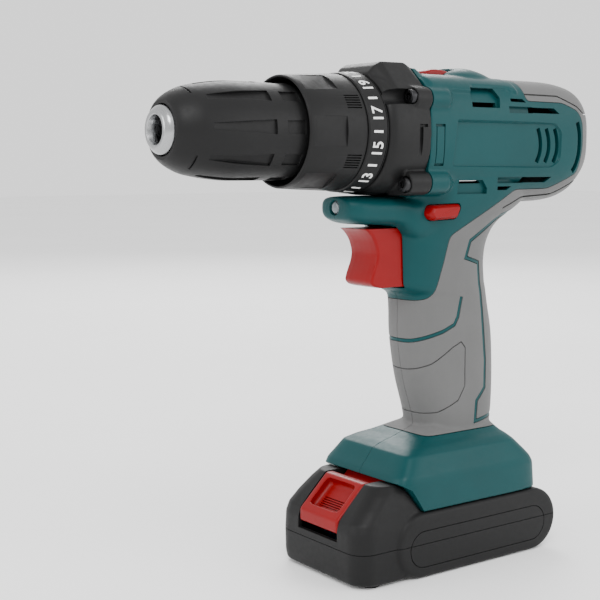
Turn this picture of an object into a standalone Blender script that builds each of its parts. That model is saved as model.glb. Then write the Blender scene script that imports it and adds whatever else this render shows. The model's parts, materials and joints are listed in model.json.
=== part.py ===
"""Cordless drill driver with keyless chuck, torque collar and slide-on battery.

Sizes are in millimetres and are turned into metres where a mesh is made.  The chuck
points along -X, +Z is up, the origin is on the table below the middle of the drill.
"""
import math

import bmesh
import bpy
from mathutils import Matrix, Vector

MM = 0.001
GAP = 0.3                 # clearance between neighbouring pieces
COLLECTION = "cordless_drill"

# ---------------------------------------------------------------- driving dimensions
AXIS_Z = 212.5            # height of the spindle axis
NOSE_X = -125.0           # front face of the chuck
TAIL_X = 125.0            # rear face of the housing
BATTERY_W = 68.0
BATTERY_FRONT, BATTERY_REAR = -38.5, 92.0
BATTERY_DECK = 32.0       # height of the deck that the foot stands on
BATTERY_SPLIT = 17.0      # parting line between the two battery cases
SKIN = 1.6                # overmould thickness
WALL = 3.8                # depth from the outer surface to the housing's cavity

COLLAR_FRONT, SCALE_FRONT, SCALE_REAR = -61.5, -30.0, -18.7
NOSE_REAR = 8.5           # joint between the black gear housing and the coloured shells
COLLAR_R, SCALE_R = 26.0, 28.2
SLEEVE_FRONT, SLEEVE_REAR, SLEEVE_R = -121.5, -57.0, 21.9

# planetary gears: two alike stages, sun 9, planet 12, fixed ring 33
MODULE = 0.8
SUN_TEETH, PLANET_TEETH, RING_TEETH = 9, 12, 33
ORBIT_R = MODULE * (SUN_TEETH + PLANET_TEETH) / 2
STAGE_B = (17.0, 26.5)    # x span of the stage that drives the spindle
STAGE_A = (32.0, 41.0)    # x span of the stage at the motor
PIN_R = 1.5

# chuck jaws
JAW_TILT = math.radians(13.0)
JAW_R = 2.6
JAW_LENGTH = 30.0
JAW_TRAVEL = 18.0
JAW_TIP_R = 1.7           # distance of a closed jaw's tip centre from the axis
JAW_ANGLES = (90.0, 210.0, 330.0)

# gear housing screws as (y, z, x of the head's seat), shell screws as (x, z, y of the head's top)
CASE_SCREWS = ((-26.0, 188.5, -5.8), (26.0, 188.5, -5.8), (-26.0, 228.8, -2.4), (26.0, 228.8, -2.4))
BODY_SCREWS = ((90.0, 233.0, 18.0), (90.0, 186.5, 18.0), (46.0, 126.0, 16.6), (46.0, 80.0, 16.2))
HEAD_TALL = 2.5           # height of a shell screw's head

COLOURS = {
    "teal": ((0.015, 0.130, 0.145), 0.45, 0.0),
    "grey": ((0.230, 0.230, 0.230), 0.75, 0.0),
    "black": ((0.018, 0.018, 0.019), 0.55, 0.0),
    "red": ((0.440, 0.012, 0.018), 0.40, 0.0),
    "steel": ((0.560, 0.570, 0.580), 0.28, 1.0),
    "brass": ((0.700, 0.480, 0.180), 0.35, 1.0),
    "nylon": ((0.600, 0.590, 0.550), 0.60, 0.0),
    "lens": ((0.850, 0.880, 0.900), 0.10, 0.0),
    "board": ((0.020, 0.160, 0.060), 0.50, 0.0),
    "cell": ((0.050, 0.260, 0.420), 0.40, 0.0),
}


# ---------------------------------------------------------------- scene and objects
def clear_scene():
    for obj in list(bpy.data.objects):
        bpy.data.objects.remove(obj, do_unlink=True)
    for name in (COLLECTION, "cutters"):
        old = bpy.data.collections.get(name)
        if old:
            bpy.data.collections.remove(old)


def make_collection(name):
    coll = bpy.data.collections.new(name)
    bpy.context.scene.collection.children.link(coll)
    return coll


clear_scene()
PARTS = make_collection(COLLECTION)
CUTTERS = make_collection("cutters")


def material(name):
    mat = bpy.data.materials.get(name)
    if mat is None:
        colour, roughness, metallic = COLOURS[name]
        mat = bpy.data.materials.new(name)
        mat.use_nodes = True
        shader = mat.node_tree.nodes["Principled BSDF"]
        shader.inputs["Base Color"].default_value = (*colour, 1.0)
        shader.inputs["Roughness"].default_value = roughness
        shader.inputs["Metallic"].default_value = metallic
    return mat


def place(obj, colour):
    """Link a part with a colour, or a cutter when colour is None."""
    if colour is None:
        CUTTERS.objects.link(obj)
        obj.hide_render = True
        obj.display_type = "WIRE"
    else:
        PARTS.objects.link(obj)
        obj.data.materials.clear()
        obj.data.materials.append(material(colour))
    return obj


def from_bmesh(name, bm, colour, location=(0, 0, 0), rotation=(0, 0, 0)):
    """Object from a bmesh drawn in millimetres; location is in millimetres too."""
    bmesh.ops.scale(bm, vec=(MM, MM, MM), verts=bm.verts)
    mesh = bpy.data.meshes.new(name)
    bm.to_mesh(mesh)
    bm.free()
    mesh.shade_smooth()
    mesh.set_sharp_from_angle(angle=math.radians(35))
    obj = bpy.data.objects.new(name, mesh)
    obj.location = Vector(location) * MM
    obj.rotation_euler = rotation
    return place(obj, colour)


def block(name, low, high, colour=None, bevel=0.0):
    bm = bmesh.new()
    bmesh.ops.create_cube(bm, size=1.0)
    size = [h - l for l, h in zip(low, high)]
    middle = [(h + l) / 2 for l, h in zip(low, high)]
    bmesh.ops.scale(bm, vec=size, verts=bm.verts)
    obj = from_bmesh(name, bm, colour, middle)
    if bevel:
        add_bevel(obj, bevel)
    return obj


def rod(name, start, end, radius, colour=None, sides=24):
    """Cylinder between two points."""
    start, end = Vector(start), Vector(end)
    along = end - start
    bm = bmesh.new()
    bmesh.ops.create_cone(bm, cap_ends=True, segments=sides, radius1=radius, radius2=radius,
                          depth=along.length)
    turn = along.to_track_quat("Z", "Y").to_euler()
    return from_bmesh(name, bm, colour, (start + end) / 2, turn)


def turned(name, profile, colour=None, steps=48, centre=(0.0, AXIS_Z), closed=True):
    """Solid turned about the X axis from (x, radius) points.

    The points run down the outer side from the rear (high x) to the front, and back
    up the inner side when the piece has a bore.
    """
    bm = bmesh.new()
    verts = [bm.verts.new((r, 0.0, x)) for x, r in profile]
    for a, b in zip(verts, verts[1:]):
        bm.edges.new((a, b))
    if closed:
        bm.edges.new((verts[-1], verts[0]))
    obj = from_bmesh(name, bm, colour, (0, centre[0], centre[1]), (0, math.pi / 2, 0))
    screw = obj.modifiers.new("turn", "SCREW")
    screw.axis = "Z"
    screw.angle = 2 * math.pi
    screw.steps = screw.render_steps = steps
    screw.use_merge_vertices = True
    screw.merge_threshold = 0.00001
    return obj


def outline_plate(name, splines, thickness, colour=None, location=(0, 0, 0), rotation=(0, 0, 0)):
    """Flat outline, with holes as further splines, extruded about its own plane."""
    curve = bpy.data.curves.new(name, "CURVE")
    curve.dimensions = "2D"
    curve.fill_mode = "BOTH"
    curve.extrude = thickness * MM / 2
    for points in splines:
        spline = curve.splines.new("POLY")
        spline.points.add(len(points) - 1)
        for point, (u, v) in zip(spline.points, points):
            point.co = (u * MM, v * MM, 0.0, 1.0)
        spline.use_cyclic_u = True
    obj = bpy.data.objects.new(name, curve)
    obj.location = Vector(location) * MM
    obj.rotation_euler = rotation
    return mesh_from_curve(obj, name, colour)


def coil(name, centre, axis_turn, radius, wire, pitch, turns, colour):
    """Helical spring whose own Z axis is turned onto the piece it sits on."""
    curve = bpy.data.curves.new(name, "CURVE")
    curve.dimensions = "3D"
    curve.bevel_depth = wire * MM / 2
    curve.bevel_resolution = 0
    curve.use_fill_caps = True
    per_turn = 10
    count = int(per_turn * turns) + 1
    spline = curve.splines.new("POLY")
    spline.points.add(count - 1)
    for i, point in enumerate(spline.points):
        a = 2 * math.pi * i / per_turn
        height = pitch * i / per_turn
        point.co = (radius * math.cos(a) * MM, radius * math.sin(a) * MM, height * MM, 1.0)
    obj = bpy.data.objects.new(name, curve)
    obj.location = Vector(centre) * MM
    obj.rotation_euler = axis_turn
    return mesh_from_curve(obj, name, colour)


def mesh_from_curve(obj, name, colour):
    """Replace a curve object by its welded mesh, so that it can be cut and joined."""
    CUTTERS.objects.link(obj)
    bpy.context.view_layer.update()
    graph = bpy.context.evaluated_depsgraph_get()
    mesh = bpy.data.meshes.new_from_object(obj.evaluated_get(graph))
    world = obj.matrix_world.copy()
    bpy.data.objects.remove(obj, do_unlink=True)
    bm = bmesh.new()
    bm.from_mesh(mesh)
    bmesh.ops.remove_doubles(bm, verts=bm.verts, dist=0.00001)
    bmesh.ops.recalc_face_normals(bm, faces=bm.faces)
    bm.to_mesh(mesh)
    bm.free()
    mesh.shade_smooth()
    mesh.set_sharp_from_angle(angle=math.radians(35))
    new = bpy.data.objects.new(name, mesh)
    new.matrix_world = world
    return place(new, colour)


def add_bevel(obj, width, segments=2, angle=35):
    bevel = obj.modifiers.new("round", "BEVEL")
    bevel.width = width * MM
    bevel.segments = segments
    bevel.limit_method = "ANGLE"
    bevel.angle_limit = math.radians(angle)
    return obj


def boolean(obj, tool, operation="DIFFERENCE"):
    mod = obj.modifiers.new(operation.lower(), "BOOLEAN")
    mod.object = tool
    mod.operation = operation
    mod.solver = "EXACT"
    return obj


def loft(name, rings, colour=None):
    """Closed solid through rings of points that correspond one to one."""
    bm = bmesh.new()
    rows = [[bm.verts.new(p) for p in ring] for ring in rings]
    count = len(rows[0])
    for a, b in zip(rows, rows[1:]):
        for i in range(count):
            j = (i + 1) % count
            bm.faces.new((a[i], a[j], b[j], b[i]))
    bm.faces.new(rows[0])
    bm.faces.new(rows[-1])
    bmesh.ops.recalc_face_normals(bm, faces=bm.faces)
    return from_bmesh(name, bm, colour)


def squircle(power, count=24):
    """Unit superellipse points, from a circle at power 2 to nearly a square."""
    points = []
    for i in range(count):
        a = 2 * math.pi * (i + 0.5) / count
        c, s = math.cos(a), math.sin(a)
        points.append((math.copysign(abs(c) ** (2 / power), c),
                       math.copysign(abs(s) ** (2 / power), s)))
    return points


def loft_x(name, sections, inset=0.0, power=3.2, count=22, colour=None):
    """Loft along X from (x, half width, bottom, top) sections."""
    rings = []
    for x, half, bottom, top in sections:
        middle, tall = (top + bottom) / 2, (top - bottom) / 2 - inset
        rings.append([(x, (half - inset) * u, middle + tall * v) for u, v in squircle(power, count)])
    return loft(name, rings, colour)


def loft_z(name, sections, inset=0.0, power=2.6, count=20, colour=None):
    """Loft along Z from (z, front x, rear x, half width) sections."""
    rings = []
    for z, front, rear, half in sections:
        middle, long = (front + rear) / 2, (rear - front) / 2 - inset
        rings.append([(middle + long * u, (half - inset) * v, z) for u, v in squircle(power, count)])
    return loft(name, rings, colour)


def side_plate(name, outline, y_low, y_high, colour=None):
    """Side outline of (x, z) points extruded across the drill."""
    return outline_plate(name, [outline], y_high - y_low, colour,
                         (0, (y_low + y_high) / 2, 0), (math.pi / 2, 0, 0))


def half_space(name, side, margin=GAP / 2):
    """Box that holds one side of the drill, from the parting plane outwards."""
    low, high = sorted((side * margin, side * 60.0))
    return block(name, (-150, low, -10), (150, high, 270))


# ---------------------------------------------------------------- housing solids
BARREL = ((8.2, 28.6, 183.8, 241.2), (22, 28.8, 183.2, 241.2), (48, 28.8, 181.5, 241.0),
          (75, 28.6, 178.6, 240.6), (98, 27.8, 178.4, 240.4), (110, 26.9, 181.0, 239.0),
          (117, 25.2, 186.0, 236.5), (122, 22.4, 191.0, 231.5), (TAIL_X, 17.5, 198.0, 224.5))
HANDLE = ((60, 24.3, 66.6, 17.6), (74, 20.7, 69.3, 17.1), (92, 14.9, 70.2, 17.0), (112, 11.4, 69.0, 17.3),
          (126, 11.2, 65.6, 17.9), (133.5, 10.2, 63.9, 18.4), (138.4, 3.6, 62.8, 18.7), (150, 2.2, 61.3, 19.8),
          (160, 2.2, 62.6, 21.2), (169, 2.2, 69.0, 22.8), (178.6, 2.2, 85.6, 24.8), (190.3, 2.2, 98.0, 26.0))
UNDER_NOSE = ((-28.6, 8.5, 173.4, 182.2), (-27.0, 11.4, 171.4, 182.6), (-22, 13.9, 169.6, 182.8),
              (-12, 15.4, 168.8, 182.8), (0, 17.5, 167.4, 182.8), (8, 20.0, 160.0, 182.8),
              (24, 22.0, 156.0, 190.0))
FOOT = ((BATTERY_DECK + GAP, -13.0, 81.3, 33.0), (46.0, -13.0, 80.0, 33.0), (52.5, -8.8, 75.2, 31.0),
        (58.4, -4.2, 69.5, 28.0), (62.4, 9.0, 65.4, 21.4), (68.0, 26.0, 62.0, 13.0))
FOOT_CEILING = 50.0       # underside of the hollow in the foot
CHANNEL_TOP = 46.3        # roof of the battery's rail channel
RAIL_HEAD, RAIL_NECK = 20.6, 15.6
FOOT_FRONT_CUT = ((-30, 28), (1.6, 28), (1.6, 32.0), (-6.0, 43.6), (-11.6, 46.9), (-30, 46.9))
GRIP_REGION = ((71.6, 262), (71.6, 228.8), (98.7, 228.6), (110.5, 224.8), (114.2, 219.5),
               (114.8, 207.3), (111.4, 193.3), (91.2, 185.5), (67.1, 185.3), (25.9, 163.2),
               (23.9, 150.9), (19.3, 132.8), (12.8, 131.2), (-4.0, 134.4), (-40, 134.4),
               (-40, 64.2), (140, 64.2), (140, 262))
LAMP_Z, LAMP_FRONT = 177.4, -28.6
VENTS = 3                 # slots in each side of the barrel, behind the cooling fan


def barrel_sections(inset):
    """Barrel sections whose rear end moves in by the inset."""
    shift = inset / (TAIL_X - 98.0)
    return [(x - shift * max(0.0, x - 98.0), half, bottom, top) for x, half, bottom, top in BARREL]


def body_solid(name, inset):
    """Barrel, handle, trigger roof and foot joined; an inset one is a core or a cavity."""
    count = 20 if inset < WALL else 14
    body = loft_x(name, barrel_sections(inset), inset, 3.2, count + 2)
    handle = loft_z(name + "_handle", HANDLE, inset, 2.6, count)
    boolean(body, handle, "UNION")
    if inset < WALL:
        boolean(body, loft_x(name + "_roof", UNDER_NOSE, inset, 3.0, 12), "UNION")
    foot = [s if s[0] > FOOT_CEILING or inset < WALL else (FOOT_CEILING, *s[1:]) for s in FOOT[1:]]
    if inset < WALL:
        foot = FOOT
    boolean(body, loft_z(name + "_foot", foot, inset, 12.0, 24), "UNION")
    if inset == 0.0:
        for i, (y, z, _) in enumerate(CASE_SCREWS):
            boolean(body, rod(f"{name}_boss_{i}", (4, y, z), (26, y * 0.98, z), BOSS_R, sides=12), "UNION")
    return body


def grip_skin(name, inset):
    """Everything inside the soft grip's outline that lies outside the inset body."""
    region = side_plate(name, GRIP_REGION, -50, 50)
    boolean(region, body_solid(name + "_core", inset))
    return region


def channel_cutter(name):
    """Battery rail channel, open to the front and below."""
    slot = block(name, (-40, -RAIL_NECK, 20), (73.0, RAIL_NECK, 40.0))
    head = block(name + "_head", (-41, -RAIL_HEAD, 37.7), (73.4, RAIL_HEAD, CHANNEL_TOP))
    return boolean(slot, head, "UNION")


def housing_cutters():
    """Cutters that both half shells share, in the order in which they are used."""
    cavity = body_solid("cavity", WALL)
    bore = rod("front_bore", (0, 0, AXIS_Z), (30, 0, AXIS_Z), 23.6, sides=40)
    boolean(cavity, bore, "UNION")
    cutters = [cavity, grip_skin("grip_pocket", SKIN + GAP), channel_cutter("channel")]
    cutters.append(side_plate("foot_front", FOOT_FRONT_CUT, -45, 45))
    cutters.append(block("nose_seat", (-60, -45, 182.75), (NOSE_REAR + GAP, 45, 270)))
    cutters.append(block("trigger_hole", (-20, -11.0, 138.0), (15.4, 11.0, 168.0)))
    cutters.append(side_plate("button_hole", ((9.0, 170.2), (31.4, 171.0), (31.4, 180.0), (9.0, 179.2)), -40, 40))
    cutters.append(block("selector_window", (12.6, -9.4, 230), (38.8, 9.4, 250)))
    cutters.append(block("terminal_window", (57.2, -14.4, 44), (72.6, 14.4, 52)))
    cutters.append(block("keeper", (-8.0, -9.0, 44), (-1.0, 9.0, 48.6)))
    cutters.append(rod("lens_hole", (-40, 0, LAMP_Z), (-13, 0, LAMP_Z), 3.4, sides=20))
    cutters.append(rod("lamp_lead_hole", (-15, 0, LAMP_Z), (22, 0, LAMP_Z), 1.6, sides=12))
    return cutters


def vent_cutters(side):
    """Slots in the barrel's side where the motor's air leaves."""
    low, high = sorted((side * 18.0, side * 32.0))
    return [block(f"vent_{k}_{side}", (80.0 + 6.1 * k, low, 199.0), (81.8 + 6.1 * k, high, 215.4))
            for k in range(VENTS)]


def build_housings():
    shared = housing_cutters()
    bosses = [rod(f"nose_thread_{i}", (-4, y, z), (19.5, y, z), 2.2, sides=12)
              for i, (y, z, _) in enumerate(CASE_SCREWS)]
    for side, word in ((-1, "left"), (1, "right")):
        shell = body_solid(f"{word}_housing_shell", 0.0)
        CUTTERS.objects.unlink(shell)
        PARTS.objects.link(shell)
        shell.hide_render = False
        shell.display_type = "TEXTURED"
        shell.data.materials.append(material("teal"))
        for cutter in shared + bosses + vent_cutters(side):
            boolean(shell, cutter)
        for x, z, top in BODY_SCREWS:
            boolean(shell, screw_way(f"way_{word}_{x:.0f}_{z:.0f}", side, x, z, top))
        boolean(shell, half_space(f"{word}_half", side), "INTERSECT")


def screw_way(name, side, x, z, top):
    """Clearance hole with a head seat on the right side, pilot hole on the left."""
    if side < 0:
        return rod(name, (x, -14, z), (x, 2, z), 1.9, sides=12)
    way = rod(name, (x, -2, z), (x, 40, z), 1.9, sides=12)
    seat = top - HEAD_TALL - GAP
    return boolean(way, rod(name + "_seat", (x, seat, z), (x, 40, z), 3.6, sides=16), "UNION")


def build_grips():
    for side, word in ((-1, "left"), (1, "right")):
        skin = side_plate(f"{word}_grip_overmould", shrunk(GRIP_REGION, GAP), -50, 50, "grey")
        boolean(skin, body_solid(f"{word}_grip_outer", 0.0), "INTERSECT")
        boolean(skin, body_solid(f"{word}_grip_core", SKIN))
        for x, z, _ in BODY_SCREWS:
            boolean(skin, rod(f"grip_hole_{word}_{x:.0f}_{z:.0f}", (x, 5, z), (x, 40, z), 3.9, sides=16))
        boolean(skin, half_space(f"{word}_grip_half", side), "INTERSECT")


def shrunk(outline, distance):
    """Outline moved inwards by a distance, corner by corner."""
    count = len(outline)
    area = sum(outline[i][0] * outline[(i + 1) % count][1] - outline[(i + 1) % count][0] * outline[i][1]
               for i in range(count))
    sign = 1.0 if area > 0 else -1.0
    result = []
    for i in range(count):
        a, b, c = Vector(outline[i - 1]), Vector(outline[i]), Vector(outline[(i + 1) % count])
        n1 = Vector((-(b - a).y, (b - a).x)).normalized() * sign
        n2 = Vector((-(c - b).y, (c - b).x)).normalized() * sign
        bisector = (n1 + n2).normalized()
        result.append(tuple(b + bisector * (distance / max(0.35, bisector.dot(n1)))))
    return result


# ---------------------------------------------------------------- gear housing
NOSE_SHELL = ((SCALE_REAR + GAP, 27.8, 184.7, 240.3), (-15.5, 29.6, 183.4, 242.4),
              (-12.0, 30.2, 183.2, 244.6), (2.0, 30.2, 183.2, 245.8), (NOSE_REAR, 29.4, 183.4, 243.4))
BOSS_R = 4.6
CASE_R, CASE_BORE = 20.0, 17.3
NECK_R = 14.5


def build_gear_housing():
    nose = loft_x("gearbox_nose", NOSE_SHELL, 0.0, 2.5, 28, "black")
    boolean(nose, rod("nose_bore", (-16, 0, AXIS_Z), (20, 0, AXIS_Z), CASE_R + GAP, sides=32))
    boolean(nose, rod("nose_mouth", (-30, 0, AXIS_Z), (0, 0, AXIS_Z), NECK_R + GAP, sides=32))
    for i, (y, z, seat) in enumerate(CASE_SCREWS):
        boolean(nose, rod(f"nose_pocket_{i}", (-40, y, z), (seat + 0.2, y, z), BOSS_R + 0.4, sides=16))
        boolean(nose, rod(f"nose_boss_{i}", (seat + GAP, y, z), (NOSE_REAR - 0.1, y, z), BOSS_R, sides=12), "UNION")
        boolean(nose, rod(f"nose_hole_{i}", (seat - 2, y, z), (12, y, z), 2.2, sides=8))
        build_nose_screw(i, y, z, seat)
    boolean(nose, block("nose_floor", (-60, -40, 150), (20, 40, 183.1)))
    profile = [(42.0, CASE_R), (-15.7, CASE_R), (-15.7, NECK_R), (-50.0, NECK_R), (-50.0, 9.6),
               (-38.0, 9.6), (-38.0, 6.0), (-13.5, 6.0), (-13.5, CASE_BORE), (42.0, CASE_BORE)]
    turned("gear_case", profile, "nylon", 32)
    turned("spindle_bearing", [(-38.4, 9.3), (-49.6, 9.3), (-49.6, 5.3), (-38.4, 5.3)], "steel", 20)
    turned("clutch_washer", [(-33.0, 21.0), (-34.2, 21.0), (-34.2, 15.0), (-33.0, 15.0)], "steel", 20)
    coil("clutch_spring", (-31.8, 0, AXIS_Z), (0, math.pi / 2, 0), 18.0, 1.8, 3.0, 3.0, "steel")
    turned("motor_plate", [(43.5, 21.5), (42.3, 21.5), (42.3, 7.0), (43.5, 7.0)], "steel", 20)


def build_nose_screw(i, y, z, seat):
    """Pan head screw with a hexagon socket, its axis along X."""
    screw = turned(f"nose_screw_{i + 1}", [(18.0, 0.0), (18.0, 1.7), (seat, 1.7), (seat, 3.6), (seat - 2.4, 3.6),
                                           (seat - 3.2, 2.6), (seat - 3.2, 0.0)], "steel", 12, (y, z), False)
    return boolean(screw, rod(f"socket_{i}", (seat - 5, y, z), (seat - 1.2, y, z), 1.6, sides=6))


# ---------------------------------------------------------------- torque collar
def build_collar():
    rows = [(SCALE_FRONT - GAP, COLLAR_R + 0.8), (-33.0, COLLAR_R + 0.8), (-34.0, COLLAR_R),
            (COLLAR_FRONT + 2.0, COLLAR_R), (COLLAR_FRONT, COLLAR_R - 1.2),
            (COLLAR_FRONT, 24.2), (-52.5, 22.4), (SCALE_FRONT - GAP, 22.4)]
    collar = turned("torque_collar", rows, "black", 36)
    ridge_count = 9
    for k in range(ridge_count):
        a = 2 * math.pi * k / ridge_count
        y, z = 27.9 * math.cos(a), AXIS_Z + 27.9 * math.sin(a)
        boolean(collar, rod(f"collar_scallop_{k}", (-57.5, y, z), (-37.5, y, z), 2.9, sides=8))
    ring = turned("torque_scale_ring", [(SCALE_REAR, SCALE_R - 0.6), (SCALE_REAR - 1.0, SCALE_R),
                                        (SCALE_FRONT + 1.4, SCALE_R - 0.5), (SCALE_FRONT, SCALE_R - 1.6),
                                        (SCALE_FRONT, 22.4), (SCALE_REAR, 22.4)], "black", 36)
    return collar, ring


# ---------------------------------------------------------------- chuck
def jaw_axis(degrees):
    """Unit vector along which a jaw closes: forwards and in towards the axis."""
    a = math.radians(degrees)
    return Vector((-math.cos(JAW_TILT), -math.sin(JAW_TILT) * math.cos(a), -math.sin(JAW_TILT) * math.sin(a)))


def jaw_line(degrees, travel):
    """Tip and tail centres of a jaw that still has this travel left."""
    a = math.radians(degrees)
    tip = Vector((NOSE_X + 1.0, JAW_TIP_R * math.cos(a), AXIS_Z + JAW_TIP_R * math.sin(a)))
    tip -= jaw_axis(degrees) * travel
    return tip, tip - jaw_axis(degrees) * JAW_LENGTH


def build_jaw(i, degrees):
    """Round jaw pin, flattened to the sector that it keeps when the chuck is closed."""
    tip, tail = jaw_line(degrees, JAW_TRAVEL)
    jaw = rod(f"jaw_{i + 1}", tip, tail, JAW_R, "steel", 16)
    a = math.radians(degrees)
    reach = 40.0
    shift = -jaw_axis(degrees) * JAW_TRAVEL
    centre = (shift.y, shift.z)
    corners = [(0.5 * math.cos(a), 0.5 * math.sin(a))]
    corners += [(reach * math.cos(a + t) + corners[0][0], reach * math.sin(a + t) + corners[0][1])
                for t in (-math.pi / 3, 0.0, math.pi / 3)]
    corners = [(y + centre[0], z + centre[1] + AXIS_Z) for y, z in corners]
    wedge = outline_plate(f"jaw_sector_{i}", [[(-z, y) for y, z in corners]], 120.0, None,
                          (-90, 0, 0), (0, math.pi / 2, 0))
    return boolean(jaw, wedge, "INTERSECT")


def build_chuck():
    body = turned("chuck_body", [(-64.0, 18.0), (-92.0, 18.0), (-100.0, 16.2), (-112.0, 12.6),
                                 (-118.0, 10.9), (-122.6, 10.6), (-124.0, 9.6), (NOSE_X, 8.2), (NOSE_X, 6.2),
                                 (-123.2, 5.3), (-86.0, 5.3), (-86.0, 6.5), (-64.0, 6.5)], "steel", 32)
    for i, degrees in enumerate(JAW_ANGLES):
        tip, tail = jaw_line(degrees, JAW_TRAVEL)
        way = rod(f"jaw_way_{i}", tip + jaw_axis(degrees) * 16.0, tail - jaw_axis(degrees) * 8.0,
                  JAW_R + GAP, sides=12)
        boolean(body, way)
        build_jaw(i, degrees)
    sleeve = turned("chuck_sleeve", [(SLEEVE_REAR, 20.6), (-59.5, 21.7), (-68.0, SLEEVE_R), (-86.0, SLEEVE_R),
                                     (-94.0, 21.4), (-102.0, 20.6), (-108.0, 19.4), (-113.0, 17.8), (-117.0, 15.8),
                                     (-120.0, 13.6), (SLEEVE_FRONT, 12.2), (SLEEVE_FRONT, 10.75 + GAP),
                                     (-118.0, 11.25), (-112.0, 12.6 + GAP), (-100.0, 16.2 + GAP),
                                     (-92.0, 18.9), (SLEEVE_REAR, 18.9)], "black", 36)
    flutes = 9
    for k in range(flutes):
        a = 2 * math.pi * (k + 0.5) / flutes
        tip = Vector((-112.0, 22.6 * math.cos(a), AXIS_Z + 22.6 * math.sin(a)))
        tail = Vector((-74.0, 24.3 * math.cos(a), AXIS_Z + 24.3 * math.sin(a)))
        boolean(sleeve, rod(f"flute_{k}", tip, tail, 3.6, sides=8))
    turned("jaw_nut", [(-78.4, 18.6), (-82.4, 18.6), (-82.4, 18.25), (-78.4, 18.25)], "steel", 32)
    turned("chuck_screw", [(-81.2, 2.4), (-85.8, 4.6), (-85.8, 1.3), (-81.2, 1.3)], "steel", 12)


# ---------------------------------------------------------------- gears and spindle
def gear_points(teeth, addendum, dedendum, internal=False, phase=0.0):
    """Tooth outline with straight flanks, one tooth centred on the first axis."""
    pitch_r = MODULE * teeth / 2
    sign = -1.0 if internal else 1.0
    top, root = pitch_r + sign * addendum, pitch_r - sign * dedendum
    pitch = 2 * math.pi / teeth
    points = []
    for k in range(teeth):
        for radius, offset in ((root, -0.27), (top, -0.11), (top, 0.11), (root, 0.27)):
            a = (k + offset) * pitch + phase
            points.append((radius * math.cos(a), radius * math.sin(a)))
    return points


def circle_points(radius, count):
    return [(radius * math.cos(2 * math.pi * i / count), radius * math.sin(2 * math.pi * i / count))
            for i in range(count)]


def gear(name, outlines, span, centre, colour):
    """Gear extruded along X; its first axis lies along +Y."""
    low, high = span
    turn = Matrix(((0, 0, 1), (1, 0, 0), (0, 1, 0))).to_euler()
    return outline_plate(name, outlines, high - low, colour, ((low + high) / 2, *centre), turn)


def planet_centre(k):
    a = 2 * math.pi * k / 3
    return ORBIT_R * math.cos(a), AXIS_Z + ORBIT_R * math.sin(a)


def build_stage(letter, span):
    """Ring gear and three planets; the planets' gaps face the sun and the ring."""
    ring_outline = gear_points(RING_TEETH, 0.55, 0.9, True)
    gear(f"ring_gear_{letter}", [circle_points(17.0, 24), ring_outline], (span[0] - 0.4, span[1] + 0.2),
         (0, AXIS_Z), "steel")
    for k in range(3):
        phase = 2 * math.pi * k / 3 + math.pi / PLANET_TEETH
        outline = gear_points(PLANET_TEETH, 0.6, 0.85, False, phase)
        gear(f"planet_{letter}{k + 1}", [outline, circle_points(PIN_R + 0.3, 8)],
             (span[0] + GAP, span[1] - GAP), planet_centre(k), "steel")


def add_pins(carrier, name, front, rear):
    for k in range(3):
        y, z = planet_centre(k)
        boolean(carrier, rod(f"{name}_pin_{k}", (front, y, z), (rear, y, z), PIN_R, sides=8), "UNION")


def add_pinion(shaft, name, front, rear):
    pinion = gear(name, [gear_points(SUN_TEETH, 0.62, 0.9)], (front, rear), (0, AXIS_Z), None)
    boolean(shaft, pinion, "UNION")


def build_drive():
    build_stage("b", STAGE_B)
    build_stage("a", STAGE_A)
    spindle = turned("spindle", [(16.0, 0.0), (16.0, 12.4), (12.6, 12.4), (12.6, 8.0), (8.0, 8.0), (8.0, 5.0),
                                 (-60.0, 5.0), (-63.0, 6.2), (-85.6, 6.2), (-85.6, 1.2), (-79.0, 1.2),
                                 (-79.0, 0.0)], "steel", 24, closed=False)
    boolean(spindle, rod("chuck_screw_seat", (-87, 0, AXIS_Z), (-80.6, 0, AXIS_Z), 5.0, sides=24))
    add_pins(spindle, "spindle", 15.0, STAGE_B[1])
    carrier = turned("carrier_a", [(31.0, 0.0), (31.0, 12.4), (28.0, 12.4), (28.0, 0.0)], "steel", 20,
                     closed=False)
    add_pins(carrier, "carrier", 30.0, STAGE_A[1])
    add_pinion(carrier, "sun_b", STAGE_B[0] - 0.5, 29.0)
    rotor = turned("motor_rotor", [(112.0, 0.0), (112.0, 1.6), (92.0, 1.6), (92.0, 5.0), (84.0, 5.0),
                                   (84.0, 2.4), (80.0, 2.4), (80.0, 12.0), (54.0, 12.0), (54.0, 2.4),
                                   (41.5, 2.4), (41.5, 0.0)], "steel", 20, closed=False)
    add_pinion(rotor, "sun_a", STAGE_A[0] - 0.2, 42.0)


# ---------------------------------------------------------------- motor
MOTOR_R = 18.4


def build_motor():
    turned("motor_can", [(96.0, MOTOR_R), (46.0, MOTOR_R), (44.2, MOTOR_R - 1.8), (44.2, 4.4), (45.6, 4.4),
                         (45.6, 15.6), (96.0, 15.6)], "steel", 28)
    turned("motor_end_cap", [(100.0, 6.0), (99.0, 15.0), (99.0, 17.6), (96.3, MOTOR_R), (96.3, 4.4),
                             (100.0, 4.4)], "black", 28)
    fan = turned("cooling_fan", [(110.0, 4.0), (108.4, 4.0), (108.0, 16.0), (106.8, 16.0), (106.8, 4.0),
                                 (102.0, 4.0), (102.0, 1.9), (110.0, 1.9)], "black", 20)
    blades = 8
    for k in range(blades):
        a = 2 * math.pi * k / blades
        blade = block(f"fan_blade_{k}", (102.6, 3.2, AXIS_Z - 0.6), (107.4, 15.6, AXIS_Z + 0.6))
        pivot = Matrix.Translation((0, 0, AXIS_Z * MM))
        place_at = Matrix.Translation(blade.location)
        blade.matrix_world = pivot @ Matrix.Rotation(a, 4, "X") @ pivot.inverted() @ place_at
        boolean(fan, blade, "UNION")


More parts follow.
